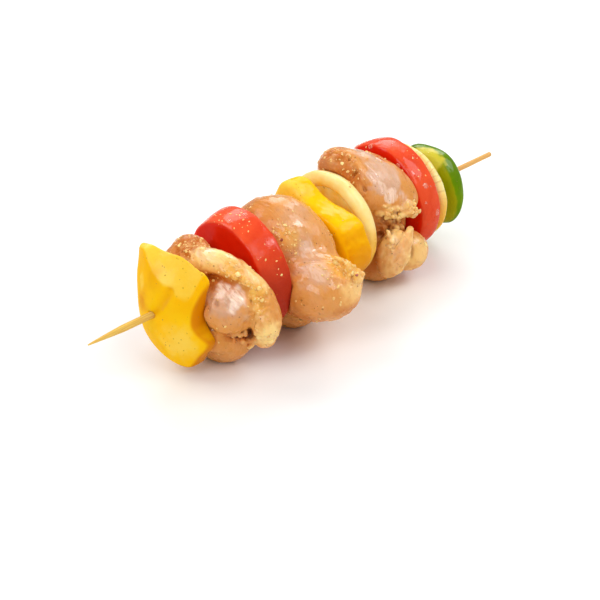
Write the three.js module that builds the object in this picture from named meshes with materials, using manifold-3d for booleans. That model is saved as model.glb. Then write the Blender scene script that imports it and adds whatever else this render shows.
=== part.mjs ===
// Marinated chicken and pepper kebab on a bamboo skewer, lying on a table.
// One round stick runs through eleven pieces, listed here from its point to its blunt end:
// yellow pepper, chicken, red pepper, chicken, yellow pepper, two nested onion layers,
// chicken, red pepper, onion and green pepper.
//
// Millimetres. X runs along the stick from its point, Y across it and Z up. Stations (x) are
// measured from the point of the stick, and y and z from its axis. At the end the whole kebab
// is moved so that its origin is the middle of its footprint, on the surface it lies on.

import * as THREE from "three";
import { mergeVertices } from "three/addons/utils/BufferGeometryUtils.js";
import Module from "manifold-3d";

const wasm = await Module();
wasm.setup();

// ---------------------------------------------------------------- driving dimensions

const STICK = { length: 200, radius: 1.25, taper: 12, tipRadius: 0.3, chamfer: 0.3, sides: 16 };
const AXIS_HEIGHT = 24; // stick axis above the surface that the kebab lies on
const GAP = 0.3; // clearance between two pieces that touch
const CHANNEL_RADIUS = STICK.radius + GAP;
const CHANNEL_SIDES = 12;

const AROUND = 28; // facets round the outline of a pepper or onion piece
const ACROSS = 10; // rows from the middle of its front to the middle of its back
const MEAT_DETAIL = 8; // subdivisions of the icosahedron that a chunk of chicken starts as

const SEEDS = { perChunk: 26, smallest: 0.65, largest: 1, sunk: 0.35, clear: 1, seed: 11 };

const COLOURS = {
  bamboo: 0xe8c88c,
  yellow: 0xf7b90c,
  red: 0xd3280f,
  green: 0x5c8a08,
  onion: 0xf3d68f,
  chicken: 0xd9a06f,
};
const WET = { roughness: 0.3, metalness: 0 };
const DRY = { roughness: 0.6, metalness: 0 };

// ---------------------------------------------------------------- outlines and surfaces

/** A closed, smooth outline through a few points [y, z], from the far top down and round. */
function loop(points) {
  const corners = points.map(([y, z]) => new THREE.Vector3(0, y, z));
  const curve = new THREE.CatmullRomCurve3(corners, true, "centripetal");
  return (share) => {
    const p = curve.getPointAt(1 - share);
    return [p.y, p.z];
  };
}

/** A nearly round outline; "uneven" is how far it is out of round, as shares of its radius. */
function ring(y, z, radius, uneven = [0.02, 0.015]) {
  return (share) => {
    const a = 2 * Math.PI * share;
    const r = radius * (1 + uneven[0] * Math.cos(2 * a + 0.7) + uneven[1] * Math.cos(3 * a + 2));
    return [y + r * Math.cos(a), z + r * Math.sin(a)];
  };
}

/** A surface across the stick that bulges towards its point (or away from it: negative radii). */
function dome(x, [y0, z0], radiusY, radiusZ) {
  return (y, z) => x + (y - y0) ** 2 / (2 * radiusY) + (z - z0) ** 2 / (2 * radiusZ);
}

/** A flat surface across the stick, leaning by so much for each millimetre of y and of z. */
function slant(x, perY = 0, perZ = 0) {
  return (y, z) => x + perY * y + perZ * z;
}

/** A surface with a furrow pressed into it, along the straight line through "at". */
function furrow(surface, { at, angle, depth, width }) {
  const [dy, dz] = [Math.cos(angle), Math.sin(angle)];
  return (y, z) => {
    const off = (y - at[0]) * dz - (z - at[1]) * dy;
    return surface(y, z) + depth * Math.exp(-((off / width) ** 2));
  };
}

// ---------------------------------------------------------------- pepper and onion pieces

const WALL_PIECES = {
  // A corner of a pepper: two lobes with a furrow between them, cut off slantwise at the top.
  yellow_pepper_front: {
    colour: COLOURS.yellow,
    outline: loop([
      [12.8, 21.6],
      [12.4, 9.6],
      [12, 0.8],
      [9.6, -8.8],
      [4, -15.2],
      [-4, -18.8],
      [-12, -19.6],
      [-14.6, -15.6],
      [-15.6, -6.4],
      [-15.6, 6.4],
      [-15.2, 17.6],
      [-12.8, 22.4],
      [0, 24.8],
    ]),
    front: furrow(dome(27.2, [-0.8, 0], 28.8, 56), { at: [2.4, 4.8], angle: 1.45, depth: 0.8, width: 3.2 }),
    back: slant(37.6, -0.2),
    crispness: 0.12,
    cutAt: [29.6, -4, 11.2],
    cutFacing: [-0.5, -0.22, 0.84],
  },
  red_pepper_front: {
    colour: COLOURS.red,
    outline: ring(-0.8, 1.9, 22.4),
    front: dome(58.7, [0, 0], 120, 120),
    back: dome(67.2, [0, 0], 152, 152),
    crispness: 0.3,
  },
  // Two lobes side by side, the far one higher; the near one leans back towards the onion.
  yellow_pepper_middle: {
    colour: COLOURS.yellow,
    outline: loop([
      [12.8, 17.6],
      [16, 10.4],
      [16.4, -3.2],
      [11.2, -15.2],
      [0, -19.2],
      [-12, -16],
      [-20.4, -7.2],
      [-22.4, 1.2],
      [-20.8, 8.8],
      [-15.2, 14],
      [-8.8, 16],
      [-3.2, 16],
      [1.6, 19.6],
      [6.4, 21.6],
    ]),
    front: furrow(dome(94.8, [8, 4.8], 128, 96), { at: [-0.8, 16], angle: 1.2, depth: 1.8, width: 3.2 }),
    back: slant(104.3, -0.17),
    crispness: 0.22,
  },
  red_pepper_back: {
    colour: COLOURS.red,
    outline: ring(5.1, -1, 22.7),
    front: dome(141.6, [3.2, 0], 88, 88),
    back: dome(150.7, [3.2, 0], 152, 152),
    crispness: 0.3,
  },
  onion_back: {
    colour: COLOURS.onion,
    outline: ring(3.2, -1.6, 19.2, [0.02, 0.02]),
    front: dome(151.9, [3.2, 0], 88, 88),
    back: dome(155.5, [3.2, 0], 112, 112),
    crispness: 0.4,
  },
  green_pepper_back: {
    colour: COLOURS.green,
    outline: loop([
      [9.6, 12.8],
      [15.2, 6.4],
      [16, -2.4],
      [12.8, -10.4],
      [4.8, -15.2],
      [-4.8, -15.2],
      [-12, -12.8],
      [-15.2, -8],
      [-16.2, -1.6],
      [-14.8, 4],
      [-11.6, 9.6],
      [-6.4, 13.6],
      [2.4, 14.4],
    ]),
    front: dome(156.2, [0, 0], 21.6, 21.6),
    back: dome(170.4, [0, 0], -30.4, -30.4),
    crispness: 0.25,
  },
};

// Two layers of one onion, nested like bowls that open towards the point of the stick. Each
// profile runs from the middle of the hollow over the rim to the middle of the back, as
// [share of the way out to the outline, station].
const ONION_LAYERS = {
  onion_middle_inner: {
    colour: COLOURS.onion,
    outline: ring(2.4, 0.4, 16.2, [0.03, 0.01]),
    profile: [
      [0, 111.6],
      [0.5, 111.36],
      [0.74, 110.64],
      [0.83, 109.76],
      [0.92, 109.52],
      [0.985, 110],
      [1, 110.88],
      [0.93, 112],
      [0.72, 113.12],
      [0.45, 113.68],
      [0, 114],
    ],
  },
  onion_middle_outer: {
    colour: COLOURS.onion,
    outline: ring(2.4, 0.4, 21.1, [0.03, 0.01]),
    profile: [
      [0, 114.4],
      [0.45, 114.08],
      [0.73, 112.64],
      [0.8, 110.88],
      [0.84, 109.52],
      [0.9, 108.96],
      [0.96, 109.28],
      [1, 110.56],
      [0.99, 112.48],
      [0.93, 114.56],
      [0.78, 116.16],
      [0.5, 116.96],
      [0, 117.2],
    ],
  },
};

/** The point at a share of the way out from the stick to an outline, in a given direction. */
function within(outline, direction, reach) {
  const share = (direction / (2 * Math.PI) + 1) % 1;
  return outline(share).map((coordinate) => coordinate * reach);
}

/**
 * The geometry of a wall piece. A unit sphere is pressed into it: the sphere's pole becomes the
 * middle of the front, its equator the rim and its other pole the middle of the back. A small
 * "crispness" gives flat faces and a square rim, 1 a round one. "grow" makes it larger all over.
 */
function wallGeometry({ outline, front, back, crispness }, grow = 0) {
  const geometry = new THREE.SphereGeometry(1, AROUND, ACROSS);
  const position = geometry.getAttribute("position");
  for (let i = 0; i < position.count; i++) {
    const [a, height, b] = [position.getX(i), position.getY(i), position.getZ(i)];
    const direction = Math.atan2(b, a);
    const edge = Math.hypot(...within(outline, direction, 1));
    const reach = Math.pow(Math.hypot(a, b), 0.8) * (1 + grow / edge);
    const level = Math.sign(height) * Math.pow(Math.abs(height), crispness);
    const [y, z] = within(outline, direction, reach);
    const [x0, x1] = [front(y, z) - grow, back(y, z) + grow];
    position.setXYZ(i, (x0 + x1) / 2 - (level * (x1 - x0)) / 2, y, z);
  }
  return geometry;
}

/** The geometry of an onion layer: a turned bowl, drawn out to its uneven outline. */
function bowlGeometry({ outline, profile }) {
  const points = profile.map(([reach, x]) => new THREE.Vector2(reach, x));
  const geometry = new THREE.LatheGeometry(points, AROUND);
  const position = geometry.getAttribute("position");
  for (let i = 0; i < position.count; i++) {
    const [a, x, b] = [position.getX(i), position.getY(i), position.getZ(i)];
    const [y, z] = within(outline, Math.atan2(a, b), Math.hypot(a, b));
    position.setXYZ(i, x, y, z);
  }
  return geometry;
}

// ---------------------------------------------------------------- chunks of chicken

// Each chunk is a thigh piece folded on to the stick. "lobes" are its muscles, as ellipsoids
// (middle, half sizes, turns in degrees about x, y and z), and "straps" are long folds of meat
// of changing thickness along a path. They run into one another over "blend", and "span" is
// the stretch of the stick that the chunk keeps to.
const CHUNKS = {
  chicken_front: {
    middle: [48.8, -6, -2],
    span: [37.6, 60],
    lobes: [
      { at: [48.8, -1.6, -0.8], size: [13.6, 11.2, 12] },
      { at: [48.8, -4, -6.4], size: [9.6, 18.4, 19.2] },
      { at: [46.4, -16, 0.8], size: [7.2, 8.4, 8], turn: [20, 0, 0] },
      { at: [45.6, -7.2, -9.6], size: [7.2, 7.2, 7.2] },
      { at: [46.8, 4.8, 10.4], size: [7.2, 8.8, 8.4] },
      { at: [49.6, 10.4, -4], size: [8.8, 10.4, 13.6] },
      { at: [51.2, -24.8, -11.2], size: [4, 4, 4] },
    ],
    straps: [
      {
        path: [
          [44.8, -1.6, 13.6],
          [47.2, -10.4, 15.2],
          [50.4, -18.4, 12],
          [52.8, -24.8, 4.8],
          [52.8, -26.4, -4],
          [52, -24, -11.2],
        ],
        thick: [5.2, 5.4, 5.4, 5.4, 5.3, 4],
      },
    ],
    blend: 1.8,
    relief: 0.4,
  },
  chicken_middle: {
    middle: [81.6, -8, -1.6],
    span: [67.2, 95.6],
    lobes: [
      { at: [80.8, -2.4, 0.8], size: [16, 12.8, 13.6] },
      { at: [81.6, -0.8, 5.2], size: [12, 17.6, 18] },
      { at: [85.6, -8.8, 4.8], size: [9.6, 13.6, 12] },
      { at: [81.6, -20.8, -2.4], size: [10.8, 18.4, 12], turn: [-8, 0, 0] },
      { at: [81.6, -5.6, -11.2], size: [10.4, 16, 13.6] },
      { at: [80.8, 8.8, -6.4], size: [9.6, 10.4, 13.6] },
      { at: [85.6, -29.6, 2.4], size: [6.4, 6.4, 4.8] },
    ],
    straps: [],
    blend: 3.2,
    relief: 0.32,
  },
  chicken_back: {
    middle: [129.6, -2.4, -1.6],
    span: [117.6, 148.8],
    lobes: [
      { at: [129.6, 0.8, -0.8], size: [15.2, 11.2, 12] },
      { at: [126.8, -1.6, 13.6], size: [10.4, 20, 9.2], turn: [32, 0, 38] },
      { at: [122.4, 7.2, 14.8], size: [7.2, 11.6, 10], turn: [25, 0, 0] },
      { at: [130.4, 1.6, -3.2], size: [12.8, 15.2, 18.4] },
      { at: [128.8, -15.2, -9.6], size: [6.8, 6.8, 10.4], turn: [-15, 0, 0] },
      { at: [132.8, -17.6, -11.6], size: [7.6, 7.6, 7.6] },
      { at: [126.4, -4.8, -16], size: [8.8, 11.2, 9.6] },
      { at: [130.4, 10.4, -4.8], size: [10.4, 9.6, 15.2] },
    ],
    straps: [],
    blend: 1.8,
    relief: 0.4,
  },
};

/** Signed distance, near enough, from a point to an ellipsoid. */
function ellipsoidDistance(point, lobe) {
  const p = point.clone().sub(lobe.centre).applyQuaternion(lobe.unturn);
  const near = Math.hypot(p.x / lobe.half.x, p.y / lobe.half.y, p.z / lobe.half.z);
  const steep = Math.hypot(p.x / lobe.half.x ** 2, p.y / lobe.half.y ** 2, p.z / lobe.half.z ** 2);
  return steep < 1e-9 ? -lobe.half.x : (near * (near - 1)) / steep;
}

/** Signed distance from a point to a strap: a rope of changing thickness. */
function strapDistance(point, strap) {
  let nearest = Infinity;
  for (let i = 0; i + 1 < strap.path.length; i++) {
    const start = new THREE.Vector3(...strap.path[i]);
    const along = new THREE.Vector3(...strap.path[i + 1]).sub(start);
    const share = point.clone().sub(start).dot(along) / along.lengthSq();
    const t = THREE.MathUtils.clamp(share, 0, 1);
    const thick = THREE.MathUtils.lerp(strap.thick[i], strap.thick[i + 1], t);
    nearest = Math.min(nearest, start.addScaledVector(along, t).distanceTo(point) - thick);
  }
  return nearest;
}

/** The smaller of two distances, rounded off where they meet. */
function smoothMin(a, b, blend) {
  const h = Math.max(blend - Math.abs(a - b), 0) / blend;
  return Math.min(a, b) - (h * h * blend) / 4;
}

const EDGE_BLEND = 1.6; // roundness of the edges where a chunk's ends were cut

/** Gentle lumps and hollows of raw muscle, a few millimetres across. */
function relief({ x, y, z }) {
  const coarse = Math.sin(0.69 * x + 1.3 * Math.sin(0.26 * y)) * Math.sin(0.6 * y + 0.9) * Math.sin(0.65 * z);
  const fine = Math.sin(1.1 * x + 0.5 * z) * Math.sin(1.05 * y - 0.6 * x) * Math.sin(1.2 * z + 0.4 * y);
  return coarse + 0.6 * fine;
}

/** The distance field of one chunk, ready to be asked for a point. */
function chunkField(chunk) {
  const lobes = chunk.lobes.map(({ at, size, turn = [0, 0, 0] }) => {
    const angles = new THREE.Euler(...turn.map(THREE.MathUtils.degToRad));
    return {
      centre: new THREE.Vector3(...at),
      half: new THREE.Vector3(...size),
      unturn: new THREE.Quaternion().setFromEuler(angles).invert(),
    };
  });
  return (point) => {
    let distance = Infinity;
    for (const lobe of lobes) distance = smoothMin(distance, ellipsoidDistance(point, lobe), chunk.blend);
    for (const strap of chunk.straps) distance = smoothMin(distance, strapDistance(point, strap), chunk.blend);
    const [start, end] = chunk.span;
    const outside = Math.max(start - point.x, point.x - end);
    return -smoothMin(chunk.relief * relief(point) - distance, -outside, EDGE_BLEND);
  };
}

const REACH = 48; // no chunk reaches further than this from its middle
const STEP = 0.6; // length of a step inwards while the surface is looked for

/** Where a ray from outside, aimed at the middle of a chunk, first meets its surface. */
function surfacePoint(field, middle, direction) {
  const at = (distance) => middle.clone().addScaledVector(direction, distance);
  let outside = REACH;
  while (outside > STEP && field(at(outside - STEP)) > 0) outside -= STEP;
  let inside = outside - STEP;
  for (let i = 0; i < 12; i++) {
    const half = (inside + outside) / 2;
    if (field(at(half)) > 0) outside = half;
    else inside = half;
  }
  return at((inside + outside) / 2);
}

/** The geometry of a chunk: an icosahedron drawn in on to its surface. */
function chunkGeometry(chunk, field) {
  const geometry = new THREE.IcosahedronGeometry(1, MEAT_DETAIL);
  const middle = new THREE.Vector3(...chunk.middle);
  const position = geometry.getAttribute("position");
  const direction = new THREE.Vector3();
  for (let i = 0; i < position.count; i++) {
    direction.fromBufferAttribute(position, i).normalize();
    const p = surfacePoint(field, middle, direction);
    position.setXYZ(i, p.x, p.y, p.z);
  }
  return geometry;
}

// ---------------------------------------------------------------- solids

/** A closed geometry as a solid that can be joined and cut. */
function solid(geometry) {
  const bare = new THREE.BufferGeometry();
  bare.setAttribute("position", geometry.getAttribute("position"));
  if (geometry.index) bare.setIndex(geometry.index);
  const merged = mergeVertices(bare, 1e-4);
  return new wasm.Manifold(
    new wasm.Mesh({
      numProp: 3,
      vertProperties: new Float32Array(merged.getAttribute("position").array),
      triVerts: new Uint32Array(merged.index.array),
    }),
  );
}

/** A solid as a geometry again. */
function geometryOf(made) {
  const mesh = made.getMesh();
  const geometry = new THREE.BufferGeometry();
  geometry.setAttribute("position", new THREE.BufferAttribute(mesh.vertProperties, 3));
  geometry.setIndex(new THREE.BufferAttribute(mesh.triVerts, 1));
  geometry.computeVertexNormals();
  return geometry;
}

/** The largest body of a solid: loose crumbs that a cut leaves behind are dropped. */
function largestBody(made) {
  return made.decompose().sort((a, b) => b.volume() - a.volume())[0];
}

/** The hole that the stick makes, from end to end. */
function channel() {
  const radius = CHANNEL_RADIUS / Math.cos(Math.PI / CHANNEL_SIDES);
  const hole = new THREE.CylinderGeometry(radius, radius, 2 * STICK.length, CHANNEL_SIDES);
  return solid(hole.rotateZ(Math.PI / 2));
}

/** A block that covers everything on one side of a plane. */
function halfSpace(at, facing) {
  const size = 120;
  const normal = new THREE.Vector3(...facing).normalize();
  const turn = new THREE.Quaternion().setFromUnitVectors(new THREE.Vector3(0, 0, 1), normal);
  const block = new THREE.BoxGeometry(size, size, size).translate(0, 0, size / 2);
  return solid(block.applyQuaternion(turn).translate(...at));
}

/** A pepper or onion piece, threaded on the stick. */
function wallSolid(spec, grow = 0) {
  const made = solid(wallGeometry(spec, grow));
  if (!spec.cutAt) return made;
  const lift = new THREE.Vector3(...spec.cutFacing).normalize().multiplyScalar(grow);
  const at = new THREE.Vector3(...spec.cutAt).add(lift).toArray();
  return made.subtract(halfSpace(at, spec.cutFacing));
}

/** A small generator of repeatable random shares between 0 and 1. */
function randomShares(seed) {
  let state = seed;
  return () => {
    state = (Math.imul(state, 1664525) + 1013904223) >>> 0;
    return state / 2 ** 32;
  };
}

/** Mustard seeds of the marinade, spread evenly over a chunk and sunk a little into it. */
function addSeeds(made, chunk, field, keepClear, seed) {
  const share = randomShares(seed);
  const middle = new THREE.Vector3(...chunk.middle);
  const turn = Math.PI * (3 - Math.sqrt(5));
  let joined = made;
  for (let i = 0; i < SEEDS.perChunk; i++) {
    const up = 1 - (2 * i + 1) / SEEDS.perChunk;
    const angle = i * turn + 0.8 * share();
    const flat = Math.sqrt(1 - up * up);
    const direction = new THREE.Vector3(flat * Math.cos(angle), flat * Math.sin(angle), up);
    const radius = THREE.MathUtils.lerp(SEEDS.smallest, SEEDS.largest, share());
    const at = surfacePoint(field, middle, direction).addScaledVector(direction, -radius * SEEDS.sunk);
    const roomy = new THREE.IcosahedronGeometry(radius + SEEDS.clear, 0).translate(at.x, at.y, at.z);
    const touches = keepClear.some((other) => other.intersect(solid(roomy)).volume() > 0);
    if (touches || at.z < SEEDS.clear + radius - AXIS_HEIGHT) continue;
    const grain = new THREE.IcosahedronGeometry(radius, 0).rotateX(angle).translate(at.x, at.y, at.z);
    joined = joined.add(solid(grain));
  }
  return joined;
}

/** A chunk of chicken, pressed against its neighbours and flat where it lies on the table. */
function chunkSolid(chunk, neighbourSpecs, seed) {
  const field = chunkField(chunk);
  const neighbours = neighbourSpecs.map((spec) => wallSolid(spec, GAP));
  let made = solid(chunkGeometry(chunk, field));
  const [x, y] = chunk.middle;
  made = made.subtract(halfSpace([x, y, -AXIS_HEIGHT], [0, 0, -1]));
  const cuts = [...neighbours, channel()];
  for (const cut of cuts) made = made.subtract(cut);
  return addSeeds(largestBody(made), chunk, field, cuts, seed);
}

/** The bamboo stick: a round rod with a long point and a slightly broken blunt end. */
function stickGeometry() {
  const { length, radius, taper, tipRadius, chamfer, sides } = STICK;
  const profile = [
    [0, 0],
    [tipRadius, 0.2],
    [radius, taper],
    [radius, length - chamfer],
    [radius - chamfer, length],
    [0, length],
  ].map(([r, x]) => new THREE.Vector2(r, x));
  return new THREE.LatheGeometry(profile, sides).rotateZ(-Math.PI / 2);
}

// ---------------------------------------------------------------- the kebab

/** One named piece of the kebab. */
function piece(name, geometry, colour, finish) {
  const material = new THREE.MeshStandardMaterial({ color: colour, ...finish });
  const mesh = new THREE.Mesh(geometry, material);
  mesh.name = name;
  return mesh;
}

/** A pepper or onion piece by its name in WALL_PIECES. */
function wallPiece(name) {
  const made = wallSolid(WALL_PIECES[name]).subtract(channel());
  return piece(name, geometryOf(largestBody(made)), WALL_PIECES[name].colour, WET);
}

/** An onion layer by its name in ONION_LAYERS. */
function onionLayer(name) {
  const made = solid(bowlGeometry(ONION_LAYERS[name])).subtract(channel());
  return piece(name, geometryOf(made), ONION_LAYERS[name].colour, WET);
}

/** A chunk by its name in CHUNKS, with the names of the pieces on either side of it. */
function chickenPiece(name, neighbourNames) {
  const specs = neighbourNames.map((other) => WALL_PIECES[other]);
  const made = chunkSolid(CHUNKS[name], specs, SEEDS.seed + name.length);
  return piece(name, geometryOf(made), COLOURS.chicken, WET);
}

const threaded = new THREE.Group();
threaded.add(
  piece("bamboo_stick", stickGeometry(), COLOURS.bamboo, DRY),
  wallPiece("yellow_pepper_front"),
  chickenPiece("chicken_front", ["yellow_pepper_front", "red_pepper_front"]),
  wallPiece("red_pepper_front"),
  chickenPiece("chicken_middle", ["red_pepper_front", "yellow_pepper_middle"]),
  wallPiece("yellow_pepper_middle"),
  onionLayer("onion_middle_inner"),
  onionLayer("onion_middle_outer"),
  chickenPiece("chicken_back", ["red_pepper_back"]),
  wallPiece("red_pepper_back"),
  wallPiece("onion_back"),
  wallPiece("green_pepper_back"),
);

/** The kebab with its origin in the middle of its footprint. */
function settled(group) {
  const box = new THREE.Box3().setFromObject(group, true);
  const middle = box.getCenter(new THREE.Vector3());
  group.position.set(-middle.x, -middle.y, AXIS_HEIGHT);
  return new THREE.Group().add(group);
}

export default settled(threaded);
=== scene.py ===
"""A marinated chicken and pepper kebab on a bamboo stick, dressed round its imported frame.

Shapes are worked out in millimetres in the stick's own frame: x runs along the stick from its
point, y across it and z up, both from its axis. Every piece of food is a distance field with
the sizes of the solid that it replaces, plus the finer relief of real food, and a surface net
turns the field into a mesh. Grains, flecks, drops and the stick are made by Geometry Nodes.
"""

from __future__ import annotations

import logging
import math
from abc import ABC, abstractmethod
from collections.abc import Callable, Sequence
from dataclasses import dataclass
from enum import Enum
from functools import reduce
from itertools import product

import bpy
import numpy as np
from mathutils import Matrix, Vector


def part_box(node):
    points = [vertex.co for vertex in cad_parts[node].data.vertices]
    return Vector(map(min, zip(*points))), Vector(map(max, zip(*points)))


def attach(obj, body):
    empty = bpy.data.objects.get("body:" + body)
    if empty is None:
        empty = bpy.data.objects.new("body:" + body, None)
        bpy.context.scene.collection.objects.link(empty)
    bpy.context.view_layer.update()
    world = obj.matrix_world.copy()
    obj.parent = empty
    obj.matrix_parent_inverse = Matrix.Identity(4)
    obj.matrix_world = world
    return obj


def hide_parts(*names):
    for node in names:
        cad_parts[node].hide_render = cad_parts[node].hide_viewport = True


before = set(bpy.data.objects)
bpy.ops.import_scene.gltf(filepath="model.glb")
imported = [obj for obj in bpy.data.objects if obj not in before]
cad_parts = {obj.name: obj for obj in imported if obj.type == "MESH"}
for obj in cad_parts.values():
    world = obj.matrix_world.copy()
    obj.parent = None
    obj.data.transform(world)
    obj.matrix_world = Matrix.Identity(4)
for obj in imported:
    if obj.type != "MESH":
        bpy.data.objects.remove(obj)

Array = np.ndarray
Vec = tuple[float, float, float]
Pair = tuple[float, float]
Colour = tuple[float, float, float]
Marks = dict[str, Array]

MM = 0.001
BODY = "root"
FINENESS = 0.42
log = logging.getLogger("kebab")


# ------------------------------------------------------------------ numbers and noise


def rows(kind: type, *values: tuple) -> tuple:
    """One thing of a kind for each row of its values."""
    return tuple(kind(*row) for row in values)


def srgb(red: int, green: int, blue: int) -> Colour:
    """A colour given as it looks on a screen, 0 to 255, as a linear colour."""
    shares = (c / 255 for c in (red, green, blue))
    return tuple(c / 12.92 if c <= 0.04045 else ((c + 0.055) / 1.055) ** 2.4 for c in shares)


def smooth_min(a: Array, b: Array, blend: float) -> Array:
    """The smaller of two distances, rounded off where they meet."""
    overlap = np.maximum(blend - np.abs(a - b), 0) / blend
    return np.minimum(a, b) - overlap * overlap * blend / 4


def smooth_max(a: Array, b: Array, blend: float) -> Array:
    """The larger of two distances, rounded off where they meet."""
    return -smooth_min(-a, -b, blend)


def ease(value: Array, start: float, end: float) -> Array:
    """A smooth step from 0 at start to 1 at end."""
    share = np.clip((value - start) / (end - start), 0, 1)
    return share * share * (3 - 2 * share)


def to_segment(p: Array, a: Array, b: Array) -> tuple[Array, Array]:
    """The distance from each point to a straight line, and how far along it that is, 0 to 1."""
    along = b - a
    share = np.clip((p - a) @ along / (along @ along), 0, 1)
    return np.linalg.norm(p - a - share[:, None] * along, axis=1), share


def turned(degrees: Vec) -> Array:
    """The matrix that turns about x, then y, then z, each about the axes already turned."""
    a, b, c = np.radians(degrees)
    about_x = np.array([[1, 0, 0], [0, np.cos(a), -np.sin(a)], [0, np.sin(a), np.cos(a)]])
    about_y = np.array([[np.cos(b), 0, np.sin(b)], [0, 1, 0], [-np.sin(b), 0, np.cos(b)]])
    about_z = np.array([[np.cos(c), -np.sin(c), 0], [np.sin(c), np.cos(c), 0], [0, 0, 1]])
    return about_x @ about_y @ about_z


class Noise:
    """Repeatable gradient noise in space, between about -1 and 1."""

    CELLS = 256
    STRENGTH = 1.7
    OCTAVES = 3

    def __init__(self, seed: int) -> None:
        """Draws the order of the cells and the slope of the noise at each of their corners."""
        rng = np.random.default_rng(seed)
        self.order = np.tile(rng.permutation(self.CELLS), 2)
        slopes = rng.normal(size=(self.CELLS, 3))
        self.slopes = (slopes / np.linalg.norm(slopes, axis=1, keepdims=True)).astype(np.float32)

    def __call__(self, points: Array) -> Array:
        """The noise at each point, for features about one unit across."""
        cell = np.floor(points).astype(np.int64)
        part = (points - cell).astype(np.float32)
        near = part**3 * (part * (part * 6 - 15) + 10)
        total = np.zeros(len(points), np.float32)
        for corner in product((0, 1), repeat=3):
            offset = np.array(corner)
            i, j, k = ((cell + offset) & (self.CELLS - 1)).T
            slope = self.slopes[self.order[self.order[self.order[i] + j] + k]]
            weight = np.where(offset, near, 1 - near).prod(axis=1)
            total += weight * (slope * (part - offset.astype(np.float32))).sum(axis=1)
        return total * self.STRENGTH

    def layers(self, points: Array) -> Array:
        """Layers of the noise, each half as strong and half as large as the last."""
        return sum(self(points * 2**n) / 2**n for n in range(self.OCTAVES))


@dataclass(frozen=True)
class Clouds:
    """Uneven patches all over a surface: layers of one noise, and how long its features are."""

    seed: int
    length: float

    def __call__(self, p: Array) -> Array:
        """How strong the clouds are at each point, between about -1 and 1."""
        return Noise(self.seed).layers(p / self.length)


# ------------------------------------------------------------------ outlines and faces


def catmull_rom(corners: Array, steps: int) -> Array:
    """Points on the closed centripetal curve through some corners."""
    share = np.linspace(0, 1, steps, endpoint=False)[:, None]
    before, after = np.roll(corners, 1, axis=0), np.roll(corners, -1, axis=0)
    beyond = np.roll(corners, -2, axis=0)
    points = []
    for p0, p1, p2, p3 in zip(before, corners, after, beyond):
        d0, d1, d2 = (np.sqrt(np.linalg.norm(b - a)) for a, b in ((p0, p1), (p1, p2), (p2, p3)))
        leaving = ((p1 - p0) / d0 - (p2 - p0) / (d0 + d1) + (p2 - p1) / d1) * d1
        arriving = ((p2 - p1) / d1 - (p3 - p1) / (d1 + d2) + (p3 - p2) / d2) * d1
        cube, square = share**3, share**2
        points.append(
            p1 * (2 * cube - 3 * square + 1)
            + leaving * (cube - 2 * square + share)
            + p2 * (3 * square - 2 * cube)
            + arriving * (cube - square)
        )
    return np.concatenate(points)


def rounded_path(path: Sequence[Vec], steps: int) -> Array:
    """The points of an open path, with steps along a smooth curve from each to the next."""
    path = np.array(path, float)
    ends = 2 * path[0] - path[1], 2 * path[-1] - path[-2]
    curve = catmull_rom(np.array([ends[0], *path, ends[1]]), steps)
    return curve[steps : steps * len(path) + 1]


class Section:
    """A closed flat outline, with the signed distance to it kept in a table."""

    SPACING = 0.3
    MARGIN = 9.0
    STEPS = 10
    RING_STEPS = 180

    def __init__(self, points: Array) -> None:
        """Fills the table.

        Args:
            points: the corners of the outline, as many rows of two numbers.
        """
        self.points = points
        self.low = points.min(axis=0) - self.MARGIN
        high = points.max(axis=0) + self.MARGIN
        columns = [np.arange(a, b, self.SPACING) for a, b in zip(self.low, high)]
        grid = np.stack(np.meshgrid(*columns, indexing="ij"), axis=-1)
        self.table = self._measure(grid.reshape(-1, 2)).reshape(grid.shape[:2])

    @classmethod
    def loop(cls, *corners: Pair) -> Section:
        """A smooth outline through a few corners."""
        return cls(catmull_rom(np.array(corners, float), cls.STEPS))

    @classmethod
    def ring(cls, y: float, z: float, radius: float, uneven: Pair = (0.02, 0.015)) -> Section:
        """A nearly round outline; uneven is how far it is out of round, as shares of its radius."""
        a = np.linspace(0, 2 * np.pi, cls.RING_STEPS, endpoint=False)
        r = radius * (1 + uneven[0] * np.cos(2 * a + 0.7) + uneven[1] * np.cos(3 * a + 2))
        return cls(np.stack([y + r * np.cos(a), z + r * np.sin(a)], axis=1))

    def _measure(self, spots: Array) -> Array:
        """The signed distance from each spot to the outline, below 0 inside it."""
        nearest = np.full(len(spots), np.inf)
        inside = np.zeros(len(spots), bool)
        for a, b in zip(self.points, np.roll(self.points, -1, axis=0)):
            nearest = np.minimum(nearest, to_segment(spots, a, b)[0])
            if a[1] != b[1]:
                between = (a[1] > spots[:, 1]) != (b[1] > spots[:, 1])
                crossing = a[0] + (spots[:, 1] - a[1]) * (b[0] - a[0]) / (b[1] - a[1])
                inside ^= between & (spots[:, 0] < crossing)
        return np.where(inside, -nearest, nearest)

    def __call__(self, u: Array, v: Array) -> Array:
        """The signed distance at each (u, v), read from the table."""
        limit = np.array(self.table.shape) - 1.001
        spots = (np.stack([u, v], axis=-1) - self.low) / self.SPACING
        spots = np.clip(spots, 0, limit)
        i, j = np.floor(spots).astype(int).T
        fu, fv = (spots - np.floor(spots)).T
        table = self.table
        low = table[i, j] * (1 - fu) + table[i + 1, j] * fu
        high = table[i, j + 1] * (1 - fu) + table[i + 1, j + 1] * fu
        return low * (1 - fv) + high * fv

    def radius(self, angle: Array) -> Array:
        """How far the outline is from the stick's axis in each direction."""
        angles = np.arctan2(self.points[:, 1], self.points[:, 0])
        return np.interp(angle, angles, np.hypot(*self.points.T), period=2 * np.pi)


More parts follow.
